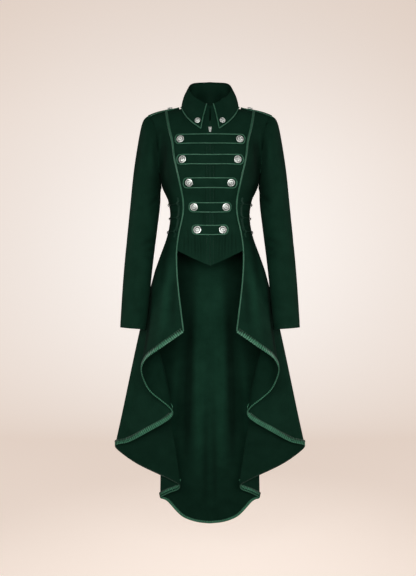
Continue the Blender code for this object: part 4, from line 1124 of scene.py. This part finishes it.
# How wide the painted bright strip along the edge is, along the hem; above it the band gets painted
# shade
BRIGHT_WIDTHS = ([0.0, 0.020, 0.070, 0.120], [0.0030, 0.0048, 0.0082, 0.0095])
BRIGHT_FADE = 0.003
TOP_SHADE = 0.85
INNER_SHADE = 0.9
FIRST_INNER_ROW = 7
# Down the hem's heights: how deep its inside lies in shadow, and how far it is turned up
SHADED_HEIGHTS = ([-1.175, -1.150, -1.010, -0.985], [0, 1, 1, 0])
TURN_UP_HEIGHTS = ([-1.215, -1.175], [1.0, 0.3])
HEM_THREAD = (0.006, 0.026, 0.016, 1.0)
BINDING_STITCH_INSET = 0.0122
BINDING_STITCH_DEPTH = -0.0016
BINDING_STITCH_PITCH = 0.0038
# The gathered satin's dark and light tones, painted across its puckers as painted shade and painted
# highlight
GATHERED_DARK = (0.010, 0.045, 0.025, 1.0)
GATHERED_LIGHT = (0.050, 0.165, 0.098, 1.0)
hem_thread = plain_thread("hem_thread", HEM_THREAD)
gathered_satin = satin("gathered_satin", GATHERED_DARK, GATHERED_LIGHT, 48.0, "Y", 0.6)
for side, sign in SIDES:
    line = eased(evenly(in_one(hems[side]), BINDING_SPACING), 4)
    along = np.arange(len(line.places)) * BINDING_SPACING
    # Three waves of unlike length, two of them wandering, so that no pucker is like the next
    long, longer, short = [along * math.tau / length for length in PUCKER_LENGTHS]
    pucker = (
        np.sin(long + 1.3 * np.sin(along * 31 + sign))
        + 0.6 * np.sin(longer + 2.1 * np.sin(along * 17))
        + 0.4 * np.sin(short + sign)
    ) / 2
    # Painted shade and highlight: the band painted dark above its bright strip, its inside painted
    # dark deep in the flutes, its puckers painted dark and light
    deep_in_flute = np.interp(line.places[:, 2], *SHADED_HEIGHTS)
    rows, shades = [], []
    turn_up = np.interp(line.places[:, 2], *TURN_UP_HEIGHTS)
    bright_width = np.interp(along, *BRIGHT_WIDTHS) * (0.9 + 0.3 * np.sin(along * 29.0 + 0.4))
    for row, (inset, lift, share) in enumerate(BINDING_ROWS):
        rise = lift + np.sign(lift) * PUCKER_HEIGHT * share * (0.5 + 0.5 * pucker)
        inner = row >= FIRST_INNER_ROW
        inset = np.full(len(along), inset) * (turn_up if inner and inset > 0 else 1.0)
        rows.append(line.places + line.inward * inset[:, None] + line.outward * rise[:, None])
        top = TOP_SHADE * np.clip((inset - bright_width) / BRIGHT_FADE, 0, 1)
        dark = INNER_SHADE * deep_in_flute if inner else top
        shades.append(dark - PUCKER_SHADE * share * pucker)
    piece = grid_mesh(f"hem_binding_{side}", np.stack(rows, axis=1))
    darken(piece, lambda _: np.stack(shades, axis=1).ravel())
    middle = len(line.places) // 2
    face = piece.data.polygons[middle * (len(BINDING_ROWS) - 1) + 2]
    if face.normal.dot(Vector(line.outward[middle])) < 0:
        piece.data.flip_normals()
    bpy.ops.object.shade_smooth()
    thicken(piece, BINDING_THICKNESS)
    sew_in(piece, gathered_satin, "satin", f"hem_band_{side}")
    stitch_row(
        f"hem_stitching_{side}", line, BINDING_STITCH_INSET, BINDING_STITCH_DEPTH,
        BINDING_STITCH_PITCH, hem_thread,
    )


# Frog straps: five tabs of the coating laid across the front, each edged all round with a thin
# satin cord. A button at each end holds them down, and the lower ones hang in a shallow curve.
STRAP_CUTS = [(0.21, 0.032), (0.20, 0.031), (0.16, 0.031), (0.13, 0.030), (0.11, 0.030)]
STRAP_CORD = (0.0016, 0.0014)
STRAP_CORD_INSET = 0.0009
STRAP_STEP = 0.0015
for number, cut in enumerate(STRAP_CUTS, 1):
    piece, _ = laid_out(f"strap_{number}", 3, LAID_WALL)
    rim = evenly(set_in(edges_of(piece)[0], STRAP_CORD_INSET), STRAP_STEP)
    edging = cord(f"strap_cord_{number}", trimmed(rim, 0, 1), *STRAP_CORD, endless=True)
    sew_in(edging, green_satin, "satin", f"strap_piping_{number}")
    thicken(piece, LAID_WALL)
    sew_in(piece, coating, "cloth", f"strap_{number}")


# Epaulettes: pointed tabs of the coating on the shoulders, sewn in at the armhole and held near the
# collar by a small button. Their edges have the same satin cord as the straps.
for side, sign in SIDES:
    piece, corners = laid_out(f"epaulette_{side}", 3, LAID_WALL)
    edges = edges_of(piece, corners)
    outer_end = max(edges, key=lambda edge: abs(edge.places[:, 0]).mean())
    sides = in_one([edge for edge in edges if edge is not outer_end])
    line = eased(evenly(set_in(sides, STRAP_CORD_INSET), STRAP_STEP))
    edging = cord(f"epaulette_cord_{side}", line, *STRAP_CORD)
    sew_in(edging, green_satin, "satin", f"epaulette_piping_{side}")
    thicken(piece, LAID_WALL)
    sew_in(piece, coating, "cloth", f"epaulette_{side}")


# Buttons: cast in a silvery alloy, domed, with a raised rim, a ring of beads and a plain rosette.
# Each is sewn on by the shank behind it. The ones on the collar and the epaulettes are smaller.
BUTTON_RADIUS = 0.0110
SHANK_RADIUS = 0.0035
# Each step of the button's body upward from its shank: radius and height
BUTTON_STEPS = [
    (0.0035, 0.0014), (0.0100, 0.0016), (0.0108, 0.0024), (0.0110, 0.0032),
    (0.0107, 0.0039), (0.0100, 0.0041), (0.0095, 0.0036), (0.0088, 0.0037),
    (0.0074, 0.0044), (0.0050, 0.0051), (0.0026, 0.0054), (0.0009, 0.0055),
]
RIM_RADIUS = 0.0099
PETALS = 8
PETAL_RING = 0.0045
PETAL_HALF_SIZES = (0.0023, 0.0011, 0.0008)
PETAL_HEIGHT = 0.0052
PETAL_TILT = 0.22
BEADS = 22
BEAD_RING = 0.0086
BEAD_RADIUS = 0.0007
BEAD_HEIGHT = 0.0038
HEART_RADIUS = 0.0012
HEART_HEIGHT = 0.0053
# The button's face under its relief: radii and heights
BUTTON_FACE = ([0.0, 0.0050, 0.0074, 0.0088], [0.0055, 0.0051, 0.0044, 0.0037])
RELIEF_HEIGHT = 0.0007
FACE_SHINE = 0.12
BUTTON_EDGE = math.radians(40)
SILVER_DARK = (0.035, 0.048, 0.042, 1.0)
SILVER_LIGHT = (0.93, 0.95, 0.92, 1.0)
BUTTON_NODES = [f"button_{number}_{side}" for number in range(1, 6) for side, _ in SIDES]
BUTTON_NODES += [f"{place}_button_{side}" for place in ("collar", "epaulette") for side, _ in SIDES]

button = drawn_up("button_model", 32, SHANK_RADIUS, 0, BUTTON_STEPS, "FACE", inside=False)
body_points = len(button.data.vertices)
with editing(button):
    for k in range(PETALS):
        turn = math.tau * k / PETALS
        bpy.ops.mesh.primitive_uv_sphere_add(
            segments=10, ring_count=6, radius=1.0, rotation=(0, PETAL_TILT, turn),
            scale=PETAL_HALF_SIZES,
            location=(PETAL_RING * math.cos(turn), PETAL_RING * math.sin(turn), PETAL_HEIGHT),
        )
    for k in range(BEADS):
        turn = math.tau * k / BEADS
        bpy.ops.mesh.primitive_uv_sphere_add(
            segments=8, ring_count=5, radius=BEAD_RADIUS,
            location=(BEAD_RING * math.cos(turn), BEAD_RING * math.sin(turn), BEAD_HEIGHT),
        )
    bpy.ops.mesh.primitive_uv_sphere_add(
        segments=12, ring_count=6, radius=HEART_RADIUS, location=(0, 0, HEART_HEIGHT)
    )
relief = button.data.attributes.new("relief", "FLOAT", "POINT")
for vertex in button.data.vertices:
    spread = vertex.co.xy.length
    if vertex.index < body_points:
        raised = 1.0 if spread > RIM_RADIUS else FACE_SHINE
    else:
        above = vertex.co.z - np.interp(spread, *BUTTON_FACE)
        raised = min(1.0, max(0.0, above / RELIEF_HEIGHT))
    relief.data[vertex.index].value = raised


def cast_metal(name, dark, light):
    """Cast silvery alloy, tarnished in the hollows of its relief and bright on what stands up."""
    made, shader, place = new_finish(name)
    raised = add_node(made, "Attribute", attribute_name="relief")
    haze = add_node(made, "TexNoise", Vector=place["Object"], Scale=900.0, Detail=4.0)
    mixed = add_node(made, "Mix", Factor=0.18, A=raised, B=haze)
    feed(
        made, shader, Metallic=0.75, Base_Color=dyed(made, mixed, dark, light, 0.10, 0.62),
        Roughness=add_node(made, "MapRange", Value=haze, To_Min=0.38, To_Max=0.52),
        Normal=add_node(made, "Bump", Height=haze, Strength=0.12, Distance=0.0001),
    )
    return made


silver = cast_metal("silver_alloy", SILVER_DARK, SILVER_LIGHT)
model_points = points_of(button)
for node in BUTTON_NODES:
    solid = np.unique(points_of(frame["nodes"][node]).round(6), axis=0)
    middle = solid.mean(axis=0)
    out = np.linalg.svd(solid - middle)[2][2]
    out *= np.sign(out @ (middle - np.array(INSIDE_THE_COAT)))
    heights = (solid - middle) @ out
    foot = middle + out * heights.min()
    size = np.linalg.norm(solid - middle - heights[:, None] * out, axis=1).max() / BUTTON_RADIUS
    turn = Vector(out).to_track_quat("Z", "Y").to_matrix()
    places = (model_points * size) @ np.array(turn).T + foot
    piece = new_piece(f"silver_{node}", button.data.copy())
    piece.data.vertices.foreach_set("co", places.ravel())
    piece.data.update()
    bpy.ops.object.shade_smooth_by_angle(angle=BUTTON_EDGE)
    sew_in(piece, silver, "metal", node)
bpy.data.objects.remove(button)


# Zip: a coil zip behind the front edges. Its woven tape carries two rows of coil teeth, and a
# nickel slider with a flat pull stands at the top. A row of stitches holds down each front edge
# beside it.
TAPE_WALL = 0.0012
TOOTH_HALF_SIZES = (0.0009, 0.0005, 0.00055)
TOOTH_PITCH = 0.0017
TEETH_FROM, TEETH_TO = -0.078, -0.466
TEETH_X = 0.004
COIL_SHIFT = 0.0006
TEETH_SUNK = 0.0011
TAPE_DARK = (0.006, 0.020, 0.013, 1.0)
TAPE_LIGHT = (0.012, 0.036, 0.024, 1.0)
ZIP_STITCH_X = 0.0095
ZIP_STITCH_TOP = -0.062
LINE_STEPS = 60
NICKEL = ((0.60, 0.62, 0.60, 1.0), (0.85, 0.87, 0.85, 1.0))
SLIDER_ROUNDING = 0.00025
SLIDER_EDGE = math.radians(35)


def woven_tape(name, dark, light):
    """Woven polyester tape: ribs across it, dull, with a faint unevenness."""
    made, shader, place = new_finish(name)
    ribs = add_node(
        made, "TexWave", Vector=place["UV"], bands_direction="Y", Scale=1100.0, Distortion=0.6
    )
    patches = add_node(made, "TexNoise", Vector=place["Object"], Scale=300.0, Detail=3.0)
    mixed = add_node(made, "Mix", Factor=0.5, A=ribs, B=patches)
    feed(
        made, shader, Roughness=0.75, Specular_IOR_Level=0.08,
        Base_Color=dyed(made, mixed, dark, light),
        Normal=add_node(made, "Bump", Height=ribs, Strength=0.4, Distance=0.0002),
    )
    return made


dark_tape = woven_tape("zip_weave", TAPE_DARK, TAPE_LIGHT)
tape, _ = laid_out("zip_tape", 2, TAPE_WALL, "zip_tape_woven")
thicken(tape, TAPE_WALL)
sew_in(tape, dark_tape, "tape", "zip_tape")


def down_the_front(x, top, foot):
    """A line down the fronts at a distance from the middle, as an edge."""
    places, outward = [], []
    for z in np.linspace(top, foot, LINE_STEPS + 1):
        hit, normal = vest_surface.ray_cast(Vector((x, -1.0, z)), Vector(FROM_THE_FRONT))[:2]
        if hit:
            places.append(hit[:])
            outward.append((normal if normal.y < 0 else -normal)[:])
    outward = unit(np.array(outward))
    inward = unit(np.cross(np.gradient(np.array(places), axis=0), outward))
    return Edge(np.array(places), outward, inward)


tooth = small_body(8, 5, TOOTH_HALF_SIZES)
lines = [down_the_front(x, TEETH_FROM, TEETH_TO) for x in (TEETH_X, -TEETH_X)]
middle = Edge(*[(a + b) / 2 for a, b in zip(*lines)])
for name, shift in (("coil_left", -COIL_SHIFT), ("coil_right", COIL_SHIFT)):
    start = 0.0 if shift < 0 else TOOTH_PITCH / 2
    line = evenly(Edge(middle.places - [0, 0, start], *middle[1:]), TOOTH_PITCH)
    places = line.places + [shift, 0, 0] - line.outward * TEETH_SUNK
    piece = repeated(name, tooth, places, np.gradient(places, axis=0), line.outward)
    sew_in(piece, dark_tape, "tape")
for side, sign in SIDES:
    line = down_the_front(sign * ZIP_STITCH_X, ZIP_STITCH_TOP, TEETH_TO)
    stitch_row(f"zip_stitching_{side}", line, 0.0)

nickel = cast_metal("zip_nickel", *NICKEL)
for node, body in (("zip_slider", "coat"), ("zip_pull", "zip_pull")):
    piece = new_piece(f"nickel_{node}", frame["nodes"][node].data.copy())
    with editing(piece):
        bpy.ops.mesh.remove_doubles(threshold=MERGED_WITHIN)
        bpy.ops.mesh.normals_make_consistent(inside=False)
    soften = piece.modifiers.new("soft_edges", "BEVEL")
    soften.width = SLIDER_ROUNDING
    soften.segments = 2
    bpy.ops.object.modifier_apply(modifier="soft_edges")
    bpy.ops.object.shade_smooth_by_angle(angle=SLIDER_EDGE)
    piece.data.materials.clear()
    piece.data.materials.append(nickel)
    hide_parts(node)
    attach(piece, body)


# Side lacing: on each side of the waist two satin tapes stand out in three belt loops each, and one
# round braided lace runs to and fro through them, sewn down at both ends, and draws the waist in.
LACE_HEIGHTS = [-0.289, -0.329, -0.369]
LACE_ANGLES = [(49.0, 102.2), (52.5, 102.2), (55.5, 102.0)]
LACE_STEPS = 14
LACE_HALF = 0.0010
LACE_LIFT = 0.0012
LACE_STEP = 0.002
# The loop satin's dark and light tones, with its pleats painted in them as painted shade and
# painted highlight
LOOP_SATIN = ((0.0030, 0.0150, 0.0088, 1.0), (0.0080, 0.0330, 0.0200, 1.0))
loop_satin = satin("loop_satin", *LOOP_SATIN)
for side, sign in SIDES:
    around = surface_of(*waist_sides[side])
    for place in ("front", "back"):
        tape_name = f"loop_tape_{place}_{side}"
        piece, _ = laid_out(tape_name, 3, TAPE_WALL, f"satin_{tape_name}")
        thicken(piece, TAPE_WALL)
        sew_in(piece, loop_satin, "satin", tape_name)
    places, outward = [], []
    for row, (z, (first, last)) in enumerate(zip(LACE_HEIGHTS, LACE_ANGLES)):
        turns = np.radians(np.linspace(first, last, LACE_STEPS + 1))
        for turn in turns[::-1] if row % 2 else turns:
            way = Vector((sign * math.sin(turn), -math.cos(turn), 0))
            hit = around.ray_cast(Vector((0, 0, z)) + way * 0.5, -way)[0]
            if hit:
                places.append((hit + way * LACE_LIFT)[:])
                outward.append(way[:])
    line = Edge(np.array(places), np.array(outward), np.array(outward))
    line = eased(evenly(line, LACE_STEP), 3)
    piece = cord(f"braided_lace_{side}", line, LACE_HALF, LACE_HALF)
    sew_in(piece, dark_tape, "lace", f"side_lacing_{side}")
